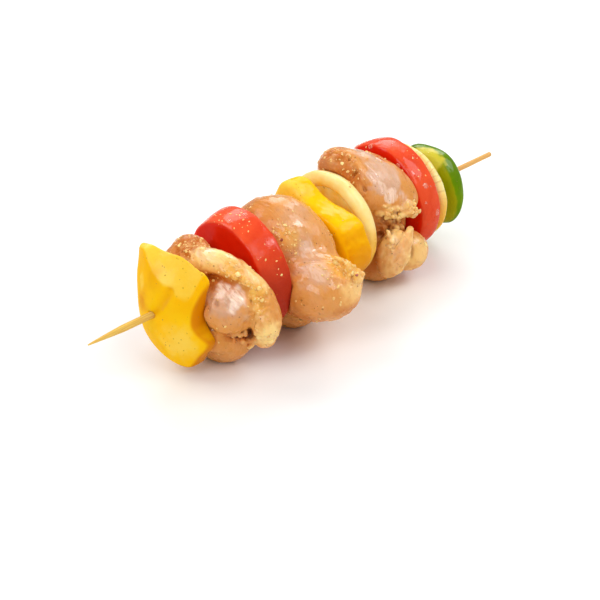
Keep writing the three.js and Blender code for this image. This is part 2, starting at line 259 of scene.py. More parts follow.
class Face(ABC):
    """A surface across the stick: the station x at each (y, z)."""

    PROBE = 0.2

    @abstractmethod
    def __call__(self, y: Array, z: Array) -> Array:
        """The station of the surface at each place."""

    def slope(self, y: Array, z: Array) -> Array:
        """How much longer a step along x is than the straight way to the surface."""
        here, step = self(y, z), self.PROBE
        rises = [(self(y + step, z) - here) / step, (self(y, z + step) - here) / step]
        return np.sqrt(1 + rises[0] ** 2 + rises[1] ** 2)


@dataclass(frozen=True)
class Dome(Face):
    """A surface that bulges towards the stick's point, or away from it where radii are below 0."""

    x: float
    y0: float
    z0: float
    radius_y: float
    radius_z: float

    def __call__(self, y: Array, z: Array) -> Array:
        """The station of the dome at each place."""
        across = (y - self.y0) ** 2 / (2 * self.radius_y)
        return self.x + across + (z - self.z0) ** 2 / (2 * self.radius_z)


@dataclass(frozen=True)
class Slant(Face):
    """A flat surface that leans by per_y for each millimetre of y, and by per_z for each of z."""

    x: float
    per_y: float
    per_z: float = 0.0

    def __call__(self, y: Array, z: Array) -> Array:
        """The station of the surface at each place."""
        return self.x + self.per_y * y + self.per_z * z


@dataclass(frozen=True)
class Furrow(Face):
    """A surface with a furrow pressed into it, along a straight line between two places."""

    surface: Face
    start: Pair
    end: Pair
    depth: float
    width: float

    def __call__(self, y: Array, z: Array) -> Array:
        """The station of the surface at each place."""
        spots = np.stack([y, z], axis=-1)
        off, _ = to_segment(spots, np.array(self.start, float), np.array(self.end, float))
        return self.surface(y, z) + self.depth * np.exp(-((off / self.width) ** 2))


# ------------------------------------------------------------------ distance fields


class Field(ABC):
    """Signed distance to a shape, in millimetres, below 0 inside it."""

    @abstractmethod
    def __call__(self, p: Array) -> Array:
        """The distance at each point."""


@dataclass(frozen=True)
class Lobe(Field):
    """An ellipsoid of meat: its middle, half sizes and turns in degrees."""

    at: Vec
    size: Vec
    turn: Vec = (0, 0, 0)

    def __call__(self, p: Array) -> Array:
        """The distance at each point, near enough."""
        share = (p - self.at) @ turned(self.turn) / self.size
        near = np.linalg.norm(share, axis=1)
        steep = np.linalg.norm(share / self.size, axis=1)
        return near * (near - 1) / np.maximum(steep, 1e-6)


@dataclass(frozen=True)
class Strap(Field):
    """A long fold of meat of changing thickness along a path."""

    path: tuple[Vec, ...]
    thick: tuple[float, ...]
    STEPS = 4

    def __call__(self, p: Array) -> Array:
        """The distance at each point, with the path rounded off between its points."""
        count = len(self.path)
        spots = np.linspace(0, count - 1, (count - 1) * self.STEPS + 1)
        thick = np.interp(spots, range(count), self.thick)
        route = rounded_path(self.path, self.STEPS)
        nearest = np.full(len(p), np.inf)
        for a, b, r0, r1 in zip(route, route[1:], thick, thick[1:]):
            gap, share = to_segment(p, a, b)
            nearest = np.minimum(nearest, gap - r0 - (r1 - r0) * share)
        return nearest


@dataclass(frozen=True)
class Bevel:
    """A twisted cut across the top of a wall.

    Each row is a place y along the cut with the station and height of its front edge, then
    those of its back edge.
    """

    rows: tuple[tuple[float, float, float, float, float], ...]
    LEAN = 0.55

    def __call__(self, p: Array) -> Array:
        """How far each point is into what the cut takes away."""
        y, *columns = np.array(sorted(self.rows)).T
        shifts = (-1.0, 0.0, 1.0)
        spread = [sum(np.interp(p[:, 1] + d, y, column) for d in shifts) / 3 for column in columns]
        near_x, near_z, far_x, far_z = spread
        share = np.clip((p[:, 0] - near_x) / (far_x - near_x), -0.3, 1.3)
        return (p[:, 2] - near_z - share * (far_z - near_z)) * self.LEAN


@dataclass(frozen=True)
class Wall(Field):
    """A piece of pepper or onion: an outline across the stick between two faces."""

    outline: Section
    front: Face
    back: Face
    edges: Pair
    bow: float = 0.5
    flare: float = 0.0
    cuts: tuple[Bevel, ...] = ()
    cut_edge: float = 0.5

    def sides(self, p: Array) -> list[Array]:
        """The distance at each point beyond the rim, the front, the back and each cut."""
        x, y, z = p.T
        front, back = self.front(y, z), self.back(y, z)
        across = np.clip((2 * x - front - back) / np.maximum(back - front, 1), -1, 1)
        rim = self.outline(y, z) + self.bow * across**2 - self.flare * across
        ahead = (front - x) / self.front.slope(y, z)
        behind = (x - back) / self.back.slope(y, z)
        return [rim, ahead, behind, *(cut(p) for cut in self.cuts)]

    def __call__(self, p: Array) -> Array:
        """The distance at each point."""
        rim, ahead, behind, *cuts = self.sides(p)
        body = smooth_max(smooth_max(rim, ahead, self.edges[0]), behind, self.edges[1])
        return reduce(lambda a, b: smooth_max(a, b, self.cut_edge), cuts, body)


class Bowl(Field):
    """An onion layer: a turned bowl, drawn out to its uneven outline."""

    def __init__(self, outline: Section, *profile: Pair) -> None:
        """Works out the section of the bowl.

        Args:
            outline: the outline of the rim across the stick.
            profile: from the middle of the hollow over the rim to the middle of the back, as
                the share of the way out to the outline and the station.
        """
        self.outline = outline
        self.reach = float(np.hypot(*outline.points.T).mean())
        half = [(share * self.reach, x) for share, x in profile]
        self.section = Section.loop(*half, *((-r, x) for r, x in half[-2:0:-1]))

    def __call__(self, p: Array) -> Array:
        """The distance at each point."""
        x, y, z = p.T
        out = np.hypot(y, z) / self.outline.radius(np.arctan2(z, y)) * self.reach
        return self.section(out, x)


@dataclass(frozen=True)
class Rod(Field):
    """A straight round hole along the stick."""

    radius: float

    def __call__(self, p: Array) -> Array:
        """The distance at each point."""
        return np.hypot(p[:, 1], p[:, 2]) - self.radius


# ------------------------------------------------------------------ relief and marks


class Relief(Enum):
    """How the noise of a wrinkle is shaped."""

    SOFT = "soft"
    CREASED = "creased"
    RIDGED = "ridged"


@dataclass(frozen=True)
class Wrinkle:
    """Relief on a surface, everywhere or fading out round one place."""

    wavelength: Vec | float
    height: float
    seed: int
    relief: Relief = Relief.SOFT
    turn: Vec = (0, 0, 0)
    at: Vec | None = None
    size: Vec = (8, 8, 8)
    FADE = (0.6, 1.2)
    FOLD_ROUNDING = 0.1
    FOLD_LEVEL = 0.3

    def __call__(self, p: Array) -> Array:
        """How far the surface is raised at each point."""
        strength = np.full(len(p), self.height)
        if self.at is not None:
            strength *= 1 - ease(np.linalg.norm((p - self.at) / self.size, axis=1), *self.FADE)
        raised = strength > 0
        value = Noise(self.seed)(p[raised] @ turned(self.turn) / self.wavelength)
        if self.relief is not Relief.SOFT:
            value = 2 * (np.sqrt(value**2 + self.FOLD_ROUNDING**2) - self.FOLD_LEVEL)
            value = value if self.relief is Relief.CREASED else -value
        strength[raised] *= value
        return strength


@dataclass(frozen=True)
class Seam:
    """A raised line along a path, or a groove where its height is below 0."""

    path: tuple[Vec, ...]
    height: float
    width: float
    STEPS = 3

    def __call__(self, p: Array) -> Array:
        """How far the surface is raised at each point."""
        line = rounded_path(self.path, self.STEPS)
        off = reduce(np.minimum, (to_segment(p, a, b)[0] for a, b in zip(line, line[1:])))
        return self.height * np.exp(-((off / self.width) ** 2))


@dataclass(frozen=True)
class Fringe:
    """Ragged shreds of fat and meat along a path."""

    path: tuple[Vec, ...]
    count: int
    spread: float
    size: Pair
    seed: int
    stretch: Pair = (1.0, 1.9)
    FLATNESS = (0.7, 1.2)
    NEARNESS = (0.05, 0.6)

    def shreds(self) -> list[Lobe]:
        """The shreds, each a small lobe that lies its own way."""
        rng = np.random.default_rng(self.seed)
        line = np.array(self.path, float)
        shreds = []
        for share in np.linspace(0, len(line) - 1, self.count):
            middle = [np.interp(share, range(len(line)), column) for column in line.T]
            at = np.array(middle) + rng.normal(0, self.spread, 3)
            thick = rng.uniform(*self.size)
            size = (thick, thick * rng.uniform(*self.stretch), thick * rng.uniform(*self.FLATNESS))
            shreds.append(Lobe(tuple(at), size, tuple(rng.uniform(-90, 90, 3))))
        return shreds

    def closeness(self, p: Array) -> Array:
        """How close each point is to a shred, from 0 to 1."""
        nearest = reduce(np.minimum, (shred(p) for shred in self.shreds()))
        return 1 - ease(nearest, *self.NEARNESS)


class Tone(Enum):
    """A tone of the chicken; each is an attribute that its material reads."""

    PINK = "pink"
    CREAM = "cream"
    GOLDEN = "golden"
    # marinade stain, and painted shade in recesses and on lower sides
    STAIN = "stain"
    # painted highlight: whitish patches where the wet meat shines
    PALE = "pale"
    SPICE = "spice"


@dataclass(frozen=True)
class Patch:
    """A place where a tone is strong, with an uneven border."""

    at: Vec
    size: Vec
    strength: float = 1.0
    border: Pair = (0.5, 1.25)
    WANDER = 0.35
    CLOUDS = Clouds(21, 4)

    @classmethod
    def strongest(cls, patches: Sequence[Patch], p: Array) -> Array:
        """The strength of the strongest of some patches at each point, from 0 to 1."""
        warp = cls.WANDER * cls.CLOUDS(p)
        strongest = np.zeros(len(p))
        for patch in patches:
            off = np.linalg.norm((p - patch.at) / patch.size, axis=1)
            strength = patch.strength * (1 - ease(off + warp, *patch.border))
            strongest = np.maximum(strongest, strength)
        return strongest


# ------------------------------------------------------------------ meshes


@dataclass
class Surface:
    """A closed surface in the stick's frame: its points, faces and outward directions."""

    points: Array
    faces: Array
    normals: Array

    def upward(self, start: float, end: float) -> Array:
        """How far each place faces up, as a smooth step between two heights of its normal."""
        return ease(self.normals[:, 2], start, end)


def surface_net(values: Array, low: Array, step: float) -> tuple[Array, Array]:
    """Wraps the places below 0 in a grid of distances in a net of four-sided faces.

    Args:
        values: the distance at each point of the grid.
        low: the grid's lowest corner.
        step: the grid's spacing.

    Returns:
        The net's points and its faces, which point outwards.
    """
    inside = values < 0
    size = np.array(values.shape) - 1
    corners = np.array(list(product((0, 1), repeat=3)))
    windows = [inside[i : i + size[0], j : j + size[1], k : k + size[2]] for i, j, k in corners]
    filled = sum(window.astype(np.int8) for window in windows)
    cells = np.argwhere((filled > 0) & (filled < 8))
    number = np.full(size, -1, np.int64)
    number[tuple(cells.T)] = np.arange(len(cells))
    at_corner = [values[tuple((cells + corner).T)] for corner in corners]
    total, crossings = np.zeros((len(cells), 3)), np.zeros(len(cells))
    for a, b in product(range(8), repeat=2):
        if a >= b or np.abs(corners[b] - corners[a]).sum() != 1:
            continue
        crosses = (at_corner[a] < 0) != (at_corner[b] < 0)
        share = np.where(crosses, at_corner[a], 0) / np.where(crosses, at_corner[a] - at_corner[b], 1)
        place = corners[a] + share[:, None] * (corners[b] - corners[a])
        total += np.where(crosses[:, None], place, 0)
        crossings += crosses
    points = low + (cells + total / crossings[:, None]) * step
    faces = []
    for axis in range(3):
        ahead = np.take(inside, range(1, inside.shape[axis]), axis)
        behind = np.take(inside, range(inside.shape[axis] - 1), axis)
        edges = np.argwhere(ahead != behind)
        along_u, along_v = (np.roll(np.eye(3, dtype=int)[axis], n) for n in (1, 2))
        around = [edges - along_u - along_v, edges - along_v, edges, edges - along_u]
        quads = np.stack([number[tuple(cell.T)] for cell in around], axis=1)
        leaving = behind[tuple(edges.T)]
        faces.append(np.where(leaving[:, None], quads, quads[:, ::-1]))
    return points, np.concatenate(faces)


def gradient(shape: Callable[[Array], Array], p: Array, probe: float = 0.06) -> Array:
    """The steepest rise of a distance at each point."""
    steps = np.eye(3) * probe
    ends = [shape(p + step) - shape(p - step) for step in steps]
    return np.stack(ends, axis=1) / (2 * probe)


def largest_shell(points: Array, faces: Array) -> tuple[Array, Array]:
    """Drops the loose crumbs of a net and keeps its one large shell."""
    label = np.arange(len(points))
    while True:
        lowest = label[faces].min(axis=1)
        spread = label.copy()
        np.minimum.at(spread, faces.ravel(), np.repeat(lowest, faces.shape[1]))
        spread = spread[spread]
        if np.array_equal(spread, label):
            break
        label = spread
    names, counts = np.unique(label, return_counts=True)
    keep = label == names[counts.argmax()]
    number = np.cumsum(keep) - 1
    return points[keep], number[faces[keep[faces[:, 0]]]]


def wrap(shape: Callable[[Array], Array], low: Vec, high: Vec, step: float = FINENESS) -> Surface:
    """Turns a distance field into a closed surface.

    Args:
        shape: the distance field.
        low: the lowest corner of the space that holds the shape.
        high: the highest corner.
        step: the length of the sides of the net's faces.

    Returns:
        The surface.
    """
    columns = [np.arange(a, b, step) for a, b in zip(low, high)]
    grid = np.stack(np.meshgrid(*columns, indexing="ij"), axis=-1)
    values = shape(grid.reshape(-1, 3)).reshape(grid.shape[:3])
    points, faces = largest_shell(*surface_net(values, np.array(low, float), step))
    for _ in range(2):
        slope = gradient(shape, points)
        steepness = np.maximum((slope**2).sum(axis=1), 0.05)
        move = slope * (shape(points) / steepness)[:, None]
        points = points - np.clip(move, -step / 2, step / 2)
    slope = gradient(shape, points)
    length = np.maximum(np.linalg.norm(slope, axis=1, keepdims=True), 1e-6)
    return Surface(points, faces, slope / length)


@dataclass(frozen=True)
class StickFrame:
    """Where the stick lies in the part: its point and axis, in metres."""

    point: Vec

    @classmethod
    def packed(cls) -> StickFrame:
        """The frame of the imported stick."""
        low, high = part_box("bamboo_stick")
        return cls((low[0], (low[1] + high[1]) / 2, (low[2] + high[2]) / 2))

    def place(self, points: Array) -> Array:
        """Moves points in the stick's millimetres to the part's metres."""
        return np.array(self.point) + points * MM

    @property
    def rest(self) -> float:
        """The height of the surface that the kebab lies on, in millimetres from the axis."""
        return -self.point[2] / MM


STICK_FRAME = StickFrame.packed()


def link(name: str, data: bpy.types.ID) -> bpy.types.Object:
    """Makes an object of a mesh, lamp or camera and puts it in the scene."""
    made = bpy.data.objects.new(name, data)
    bpy.context.scene.collection.objects.link(made)
    return made


def make_object(name: str, surface: Surface, marks: Marks) -> bpy.types.Object:
    """Makes a smooth mesh object of a surface, with its marks as attributes."""
    mesh = bpy.data.meshes.new(name)
    mesh.from_pydata(STICK_FRAME.place(surface.points).tolist(), [], surface.faces.tolist())
    mesh.shade_smooth()
    for key, values in marks.items():
        layer = mesh.attributes.new(key, "FLOAT", "POINT")
        layer.data.foreach_set("value", values.astype(np.float32))
    return link(name, mesh)


def settle_piece(piece: bpy.types.Object, material: bpy.types.Material, slot: str, *nodes: str) -> None:
    """Gives a piece its material and body, hides the nodes that it stands for, and reports it."""
    piece.data.materials.clear()
    piece.data.materials.append(material)
    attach(piece, BODY)
    if nodes:
        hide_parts(*nodes)
    log.info("%s: %d faces", piece.name, len(piece.data.polygons))


# ------------------------------------------------------------------ node trees


NUMBER, VECTOR, COUNT = "NodeSocketFloat", "NodeSocketVector", "NodeSocketInt"
GEOMETRY, MATERIAL = "NodeSocketGeometry", "NodeSocketMaterial"


class Tree:
    """Adds nodes to a node tree and joins them."""

    def __init__(self, tree: bpy.types.NodeTree) -> None:
        """Starts on a tree."""
        self.tree = tree

    def set(self, socket: bpy.types.NodeSocket, value: object) -> None:
        """Links a socket to another, or sets it to a plain value."""
        if isinstance(value, bpy.types.NodeSocket):
            self.tree.links.new(value, socket)
        elif isinstance(value, tuple) and socket.type == "RGBA":
            socket.default_value = (*value, 1.0)
        else:
            socket.default_value = value

    def add(self, kind: str, inputs: dict[str | int, object] | None = None, **settings: object):
        """Adds a node.

        Args:
            kind: the type of the node.
            inputs: what goes into its sockets, by their name or number.
            settings: its own settings.

        Returns:
            The node.
        """
        node = self.tree.nodes.new(kind)
        for key, value in settings.items():
            setattr(node, key, value)
        for key, value in (inputs or {}).items():
            self.set(node.inputs[key], value)
        return node

    def math(self, operation: str, a: object, b: object, clamp: bool = False):
        """The result of arithmetic on two values."""
        return self.add("ShaderNodeMath", {0: a, 1: b}, operation=operation, use_clamp=clamp).outputs[0]

    def times(self, a: object, b: object):
        """The product of two values."""
        return self.math("MULTIPLY", a, b)

    def plus(self, a: object, b: object):
        """The sum of two values."""
        return self.math("ADD", a, b)

    def minus(self, a: object, b: object):
        """The difference of two values."""
        return self.math("SUBTRACT", a, b)

    def vector(self, operation: str, a: object, b: object = (0.0, 0.0, 0.0)):
        """The result of arithmetic on two vectors."""
        return self.add("ShaderNodeVectorMath", {0: a, 1: b}, operation=operation).outputs[0]

    def scaled(self, vector: object, scale: object):
        """A vector made longer or shorter."""
        return self.add("ShaderNodeVectorMath", {0: vector, "Scale": scale}, operation="SCALE").outputs[0]

    def blend(self, share: object, a: object, b: object):
        """Two colours mixed by a share."""
        return self.add("ShaderNodeMix", {0: share, 6: a, 7: b}, data_type="RGBA").outputs[2]

    def between(self, value: object, start: float, end: float, low: float = 0.0, high: float = 1.0):
        """A value moved from one range to another, smoothly and within its limits."""
        inputs = {0: value, 1: start, 2: end, 3: low, 4: high}
        return self.add("ShaderNodeMapRange", inputs, interpolation_type="SMOOTHSTEP").outputs[0]

    def noise(self, where: object, scale: object, detail: float = 2.0, rough: float = 0.5):
        """Noise of a given number of features for each metre."""
        inputs = {"Vector": where, "Scale": scale, "Detail": detail, "Roughness": rough}
        return self.add("ShaderNodeTexNoise", inputs).outputs["Fac"]

    def drift(self, where: object, scale: float):
        """Noise in each direction, about a middle of 0."""
        noise = self.add("ShaderNodeTexNoise", {"Vector": where, "Scale": scale, "Detail": 1.0})
        return self.vector("SUBTRACT", noise.outputs["Color"], (0.5, 0.5, 0.5))

    def mark(self, name: str):
        """An attribute of the mesh, as a number."""
        return self.add("ShaderNodeAttribute", attribute_name=name).outputs["Fac"]

    def place(self):
        """Where each spot of the piece is, in metres."""
        return self.add("ShaderNodeTexCoord").outputs["Object"]

    def dressed(self, mesh: object, material: object):
        """A mesh made smooth and given its material."""
        smooth = self.add("GeometryNodeSetShadeSmooth", {0: mesh}).outputs[0]
        return self.add("GeometryNodeSetMaterial", {"Geometry": smooth, "Material": material}).outputs[0]


def open_group(name: str, kind: str, inputs: dict[str, str], outputs: dict[str, str]):
    """Starts a node group.

    Args:
        name: the group's name.
        kind: the type of the group.
        inputs: each input's name, with its socket type.
        outputs: each output's name, with its socket type.

    Returns:
        The group's tree, what it is given, and its outputs.
    """
    group = bpy.data.node_groups.new(name, kind)
    for way, sockets in (("INPUT", inputs), ("OUTPUT", outputs)):
        for key, socket_type in sockets.items():
            group.interface.new_socket(key, in_out=way, socket_type=socket_type)
    tree = Tree(group)
    return tree, tree.add("NodeGroupInput").outputs, tree.add("NodeGroupOutput").inputs


def numbers(*names: str) -> dict[str, str]:
    """Some sockets that are all numbers."""
    return dict.fromkeys(names, NUMBER)


class Groups:
    """The shader node groups that the finishes share."""

    KIND = "ShaderNodeTree"

    def __init__(self) -> None:
        """Builds each group once."""
        self.mottle = self._mottle()
        self.specks = self._specks()
        self.fibres = self._fibres()
        self.wetness = self._wetness()

    def _mottle(self) -> bpy.types.NodeTree:
        """Soft uneven colour at two sizes at once."""
        inputs, outputs = numbers("Scale", "Sharpness"), numbers("Share")
        tree, given, out = open_group("mottle", self.KIND, inputs, outputs)
        where = tree.place()
        large = tree.noise(where, given["Scale"])
        small = tree.noise(where, tree.times(given["Scale"], 4.3), 3.0, 0.6)
        mixed = tree.plus(tree.times(large, 0.65), tree.times(small, 0.35))
        low, high = tree.minus(0.5, given["Sharpness"]), tree.plus(0.5, given["Sharpness"])
        tree.set(out["Share"], tree.between(mixed, low, high))
        return tree.tree

    def _specks(self) -> bpy.types.NodeTree:
        """Small round specks of ground spice, of uneven size and spacing."""
        inputs, outputs = numbers("Scale", "Size", "Share"), numbers("Mask")
        tree, given, out = open_group("specks", self.KIND, inputs, outputs)
        cells = tree.add("ShaderNodeTexVoronoi", {"Vector": tree.place(), "Scale": given["Scale"]})
        draw = tree.add("ShaderNodeSeparateColor", {0: cells.outputs["Color"]}).outputs
        size = tree.times(given["Size"], tree.plus(draw[0], 0.4))
        edge = tree.minus(size, cells.outputs["Distance"])
        round_speck = tree.math("MULTIPLY", edge, 12.0, clamp=True)
        chosen = tree.math("LESS_THAN", draw[1], given["Share"])
        tree.set(out["Mask"], tree.times(round_speck, chosen))
        return tree.tree

    def _fibres(self) -> bpy.types.NodeTree:
        """Fine parallel fibres, given as a height."""
        inputs, outputs = {"Along": VECTOR, "Wander": NUMBER}, numbers("Height")
        tree, given, out = open_group("fibres", self.KIND, inputs, outputs)
        where = tree.place()
        moved = tree.vector("ADD", where, tree.scaled(tree.drift(where, 110.0), given["Wander"]))
        stretched = tree.vector("MULTIPLY", moved, given["Along"])
        tree.set(out["Height"], tree.noise(stretched, 1.0, 3.0, 0.55))
        return tree.tree

    def _wetness(self) -> bpy.types.NodeTree:
        """Patches of standing moisture: how rough the surface is, between dry and wet."""
        inputs, outputs = numbers("Scale", "Wet", "Dry"), numbers("Roughness", "Film")
        tree, given, out = open_group("wetness", self.KIND, inputs, outputs)
        film = tree.between(tree.noise(tree.place(), given["Scale"], 3.0, 0.55), 0.35, 0.62)
        step = tree.minus(given["Wet"], given["Dry"])
        tree.set(out["Roughness"], tree.plus(given["Dry"], tree.times(film, step)))
        tree.set(out["Film"], film)
        return tree.tree


@dataclass(frozen=True)
class Juices:
    """What is the same all over a moist surface: how light goes into it and how it shines."""

    depth: float = 0.0025
    into: float = 0.3
    spread: Vec = (1.0, 0.45, 0.2)
    shine: float = 0.5
    coat: float = 0.6
    coat_roughness: float = 0.12


class MaterialTree(Tree):
    """The node tree of a new material, with the shared groups at hand."""

    def __init__(self, name: str, groups: Groups, juices: Juices) -> None:
        """Starts the material and sets the constant values of its shader.

        Args:
            name: the material's name.
            groups: the shared node groups.
            juices: the constant values.
        """
        self.material = bpy.data.materials.new(name)
        self.material.use_nodes = True
        super().__init__(self.material.node_tree)
        self.groups = groups
        self.shader = self.tree.nodes["Principled BSDF"].inputs
        constants = {
            "Subsurface Weight": juices.into,
            "Subsurface Scale": juices.depth,
            "Subsurface Radius": juices.spread,
            "Specular IOR Level": juices.shine,
            "Coat Weight": juices.coat,
            "Coat Roughness": juices.coat_roughness,
        }
        for key, value in constants.items():
            self.shader[key].default_value = value

    def put(self, key: str, value: object) -> None:
        """Sets one of the shader's inputs."""
        self.set(self.shader[key], value)

    def use(self, group: bpy.types.NodeTree, *values: object):
        """Places a group with its own values, and gives its outputs."""
        return self.add("ShaderNodeGroup", dict(enumerate(values)), node_tree=group).outputs

    def mottle(self, scale: float, sharpness: float):
        """Soft uneven colour, as a share."""
        return self.use(self.groups.mottle, scale, sharpness)["Share"]

    def specks(self, scale: float, size: float, share: float):
        """Specks of ground spice, as a mask."""
        return self.use(self.groups.specks, scale, size, share)["Mask"]

    def fibres(self, along: Vec, wander: float):
        """Fine parallel fibres, as a height."""
        return self.use(self.groups.fibres, along, wander)["Height"]

    def wetness(self, scale: float, wet: float, dry: float):
        """Patches of moisture, as a roughness and a film."""
        return self.use(self.groups.wetness, scale, wet, dry)

    def bumps(self, *heights: tuple[object, float]) -> None:
        """Adds heights to the shader's normal, each with its depth in metres."""
        normal = {}
        for height, depth in heights:
            inputs = {"Height": height, "Distance": depth, "Strength": 1.0, **normal}
            normal = {"Normal": self.add("ShaderNodeBump", inputs).outputs[0]}
        self.put("Normal", normal["Normal"])


# ------------------------------------------------------------------ finishes


@dataclass(frozen=True)
class ChickenFinish:
    """Raw chicken in an oily marinade, with painted highlights and painted shade in its crevices."""

    tan: Colour = srgb(222, 148, 68)
    rosy: Colour = srgb(226, 158, 92)
    pink: Colour = srgb(214, 162, 126)
    cream: Colour = srgb(255, 214, 136)
    golden: Colour = srgb(242, 176, 70)
    # the brown of marinade stains, also painted as shade in recesses
    stain: Colour = srgb(190, 98, 26)
    # the whitish pink of the painted highlights
    pale: Colour = srgb(255, 226, 204)
    film: Colour = srgb(206, 130, 52)
    # painted shade: the dark brown that crevices are painted, partly marinade gathered there
    deep_shade_and_marinade: Colour = srgb(110, 46, 16)
    dust: Colour = srgb(120, 66, 20)
    juices: Juices = Juices(depth=0.0022, into=0.25, spread=(1.0, 0.5, 0.22), shine=0.1, coat_roughness=0.07)

    def material(self, groups: Groups) -> bpy.types.Material:
        """Builds the material from the marks on each chunk."""
        tree = MaterialTree("marinated_chicken", groups, self.juices)
        fine = tree.mottle(320.0, 0.2)
        fibre = tree.fibres((1100.0, 260.0, 260.0), 0.004)
        colour = tree.blend(tree.mottle(70.0, 0.16), self.tan, self.rosy)
        for tone, paint in ((Tone.PINK, self.pink), (Tone.CREAM, self.cream), (Tone.GOLDEN, self.golden)):
            colour = tree.blend(tree.mark(tone.value), colour, paint)
        streaks = tree.times(tree.between(fine, 0.4, 1.0), tree.between(fibre, 0.42, 0.7))
        colour = tree.blend(tree.times(streaks, 0.6), colour, self.film)
        # marinade stains, and painted shade where their patches lie in recesses and low down
        stained_and_shaded = tree.times(tree.mark(Tone.STAIN.value), tree.between(fine, 0.0, 1.0, 0.7, 1.0))
        colour = tree.blend(stained_and_shaded, colour, self.stain)
        # painted shade: crevices darkened toward deep brown by how closed in they are, partly marinade
        # gathered there
        colour = tree.blend(tree.between(tree.mark("crevice_shade_and_marinade"), 0.35, 1.0, 0.0, 0.65), colour, self.deep_shade_and_marinade)
        # painted highlight: whitish patches broken up by the fibres
        painted_sheen = tree.times(tree.mark(Tone.PALE.value), tree.between(fibre, 0.35, 0.6, 0.35, 1.0))
        colour = tree.blend(painted_sheen, colour, self.pale)
        ground = tree.times(tree.specks(900.0, 0.3, 0.07), 0.5)
        tree.put("Base Color", tree.blend(ground, colour, self.dust))
        film = tree.wetness(160.0, 0.18, 0.4)
        tree.put("Roughness", film["Roughness"])
        wet = tree.times(tree.mark("wet"), tree.between(film["Film"], 0.0, 1.0, 0.3, 0.95))
        tree.put("Coat Weight", wet)
        tree.bumps((fibre, 0.0003), (tree.noise(tree.place(), 1500.0), 0.0001))
        return tree.material


@dataclass(frozen=True)
class PepperFinish:
    """Raw pepper: glossy skin on one face, moist flesh where it was cut."""

    name: str
    skin: Colour
    skin_deep: Colour
    flesh: Colour
    flesh_deep: Colour
    # the colour of painted shade on rims, in creases and in patches; on the green pepper a paler flesh tone
    shade: Colour
    speck: Colour = srgb(184, 132, 20)
    specks: float = 0.3
    wettest: float = 0.6
    juices: Juices = Juices(depth=0.002, into=0.15, shine=0.04, coat_roughness=0.06)
    SKIN_ROUGHNESS = 0.16

    def material(self, groups: Groups) -> bpy.types.Material:
        """Builds the material from the skin mark, with its painted light, and the painted shade mark of each
        piece.
        """
        tree = MaterialTree(self.name, groups, self.juices)
        broad = tree.mottle(60.0, 0.2)
        skin = tree.blend(broad, self.skin, self.skin_deep)
        flesh = tree.blend(broad, self.flesh, self.flesh_deep)
        # painted light: inside the light patches the skin mark gives way to the paler flesh colour
        skinned = tree.mark("skin")
        colour = tree.blend(skinned, flesh, skin)
        # painted shade: darker on rims that face down and right, along creases and in patches
        colour = tree.blend(tree.mark("shade"), colour, self.shade)
        bare = tree.between(skinned, 0.0, 1.0, 0.85, 0.1)
        ground = tree.times(tree.specks(900.0, 0.24, self.specks), bare)
        tree.put("Base Color", tree.blend(ground, colour, self.speck))
        film = tree.wetness(130.0, 0.2, 0.45)
        tree.put("Roughness", tree.blend(skinned, film["Roughness"], (self.SKIN_ROUGHNESS,) * 3))
        share = tree.between(film["Film"], 0.0, 1.0, self.wettest / 6, self.wettest)
        tree.put("Coat Weight", tree.times(tree.mark("wet"), share))
        where = tree.place()
        uneven = tree.times(tree.noise(where, 900.0), tree.between(skinned, 0.0, 1.0, 1.0, 0.15))
        tree.bumps((uneven, 0.00012), (tree.noise(where, 160.0), 0.0003))
        return tree.material


@dataclass(frozen=True)
class OnionFinish:
    """Moist onion, stained by the marinade and painted a darker orange as shade in its hollows, and painted
    darker toward its lower edge.
    """

    pale: Colour = srgb(255, 234, 164)
    warm: Colour = srgb(255, 216, 130)
    # the orange of the hollows: marinade stain and painted shade
    stained_and_shaded: Colour = srgb(255, 192, 26)
    # the brown of the veins, also painted as shade toward the lower edge
    vein_and_shade: Colour = srgb(190, 132, 56)
    juices: Juices = Juices(depth=0.004, into=0.45, spread=(1.0, 0.8, 0.35), shine=0.1)

    def material(self, groups: Groups) -> bpy.types.Material:
        """Builds the material from the marks of each layer: veins, marinade stain and painted shade."""
        tree = MaterialTree("onion_flesh", groups, self.juices)
        vein_and_shade = tree.mark("vein_and_shade")
        colour = tree.blend(tree.mottle(90.0, 0.2), self.pale, self.warm)
        # painted shade: the hollow and the lower edge turn orange, partly marinade stain
        colour = tree.blend(tree.mark("stain"), colour, self.stained_and_shaded)
        # veins, and painted shade darkening the lower edge
        colour = tree.blend(tree.times(vein_and_shade, 0.35), colour, self.vein_and_shade)
        ground = tree.times(tree.specks(600.0, 0.28, 0.05), 0.6)
        tree.put("Base Color", tree.blend(ground, colour, self.vein_and_shade))
        tree.put("Roughness", tree.wetness(120.0, 0.18, 0.4)["Roughness"])
        tree.put("Coat Weight", tree.between(tree.mark("wet"), 0.0, 1.0, 0.0, 0.4))
        tree.bumps((vein_and_shade, -0.00008), (tree.noise(tree.place(), 300.0), 0.0002))
        return tree.material


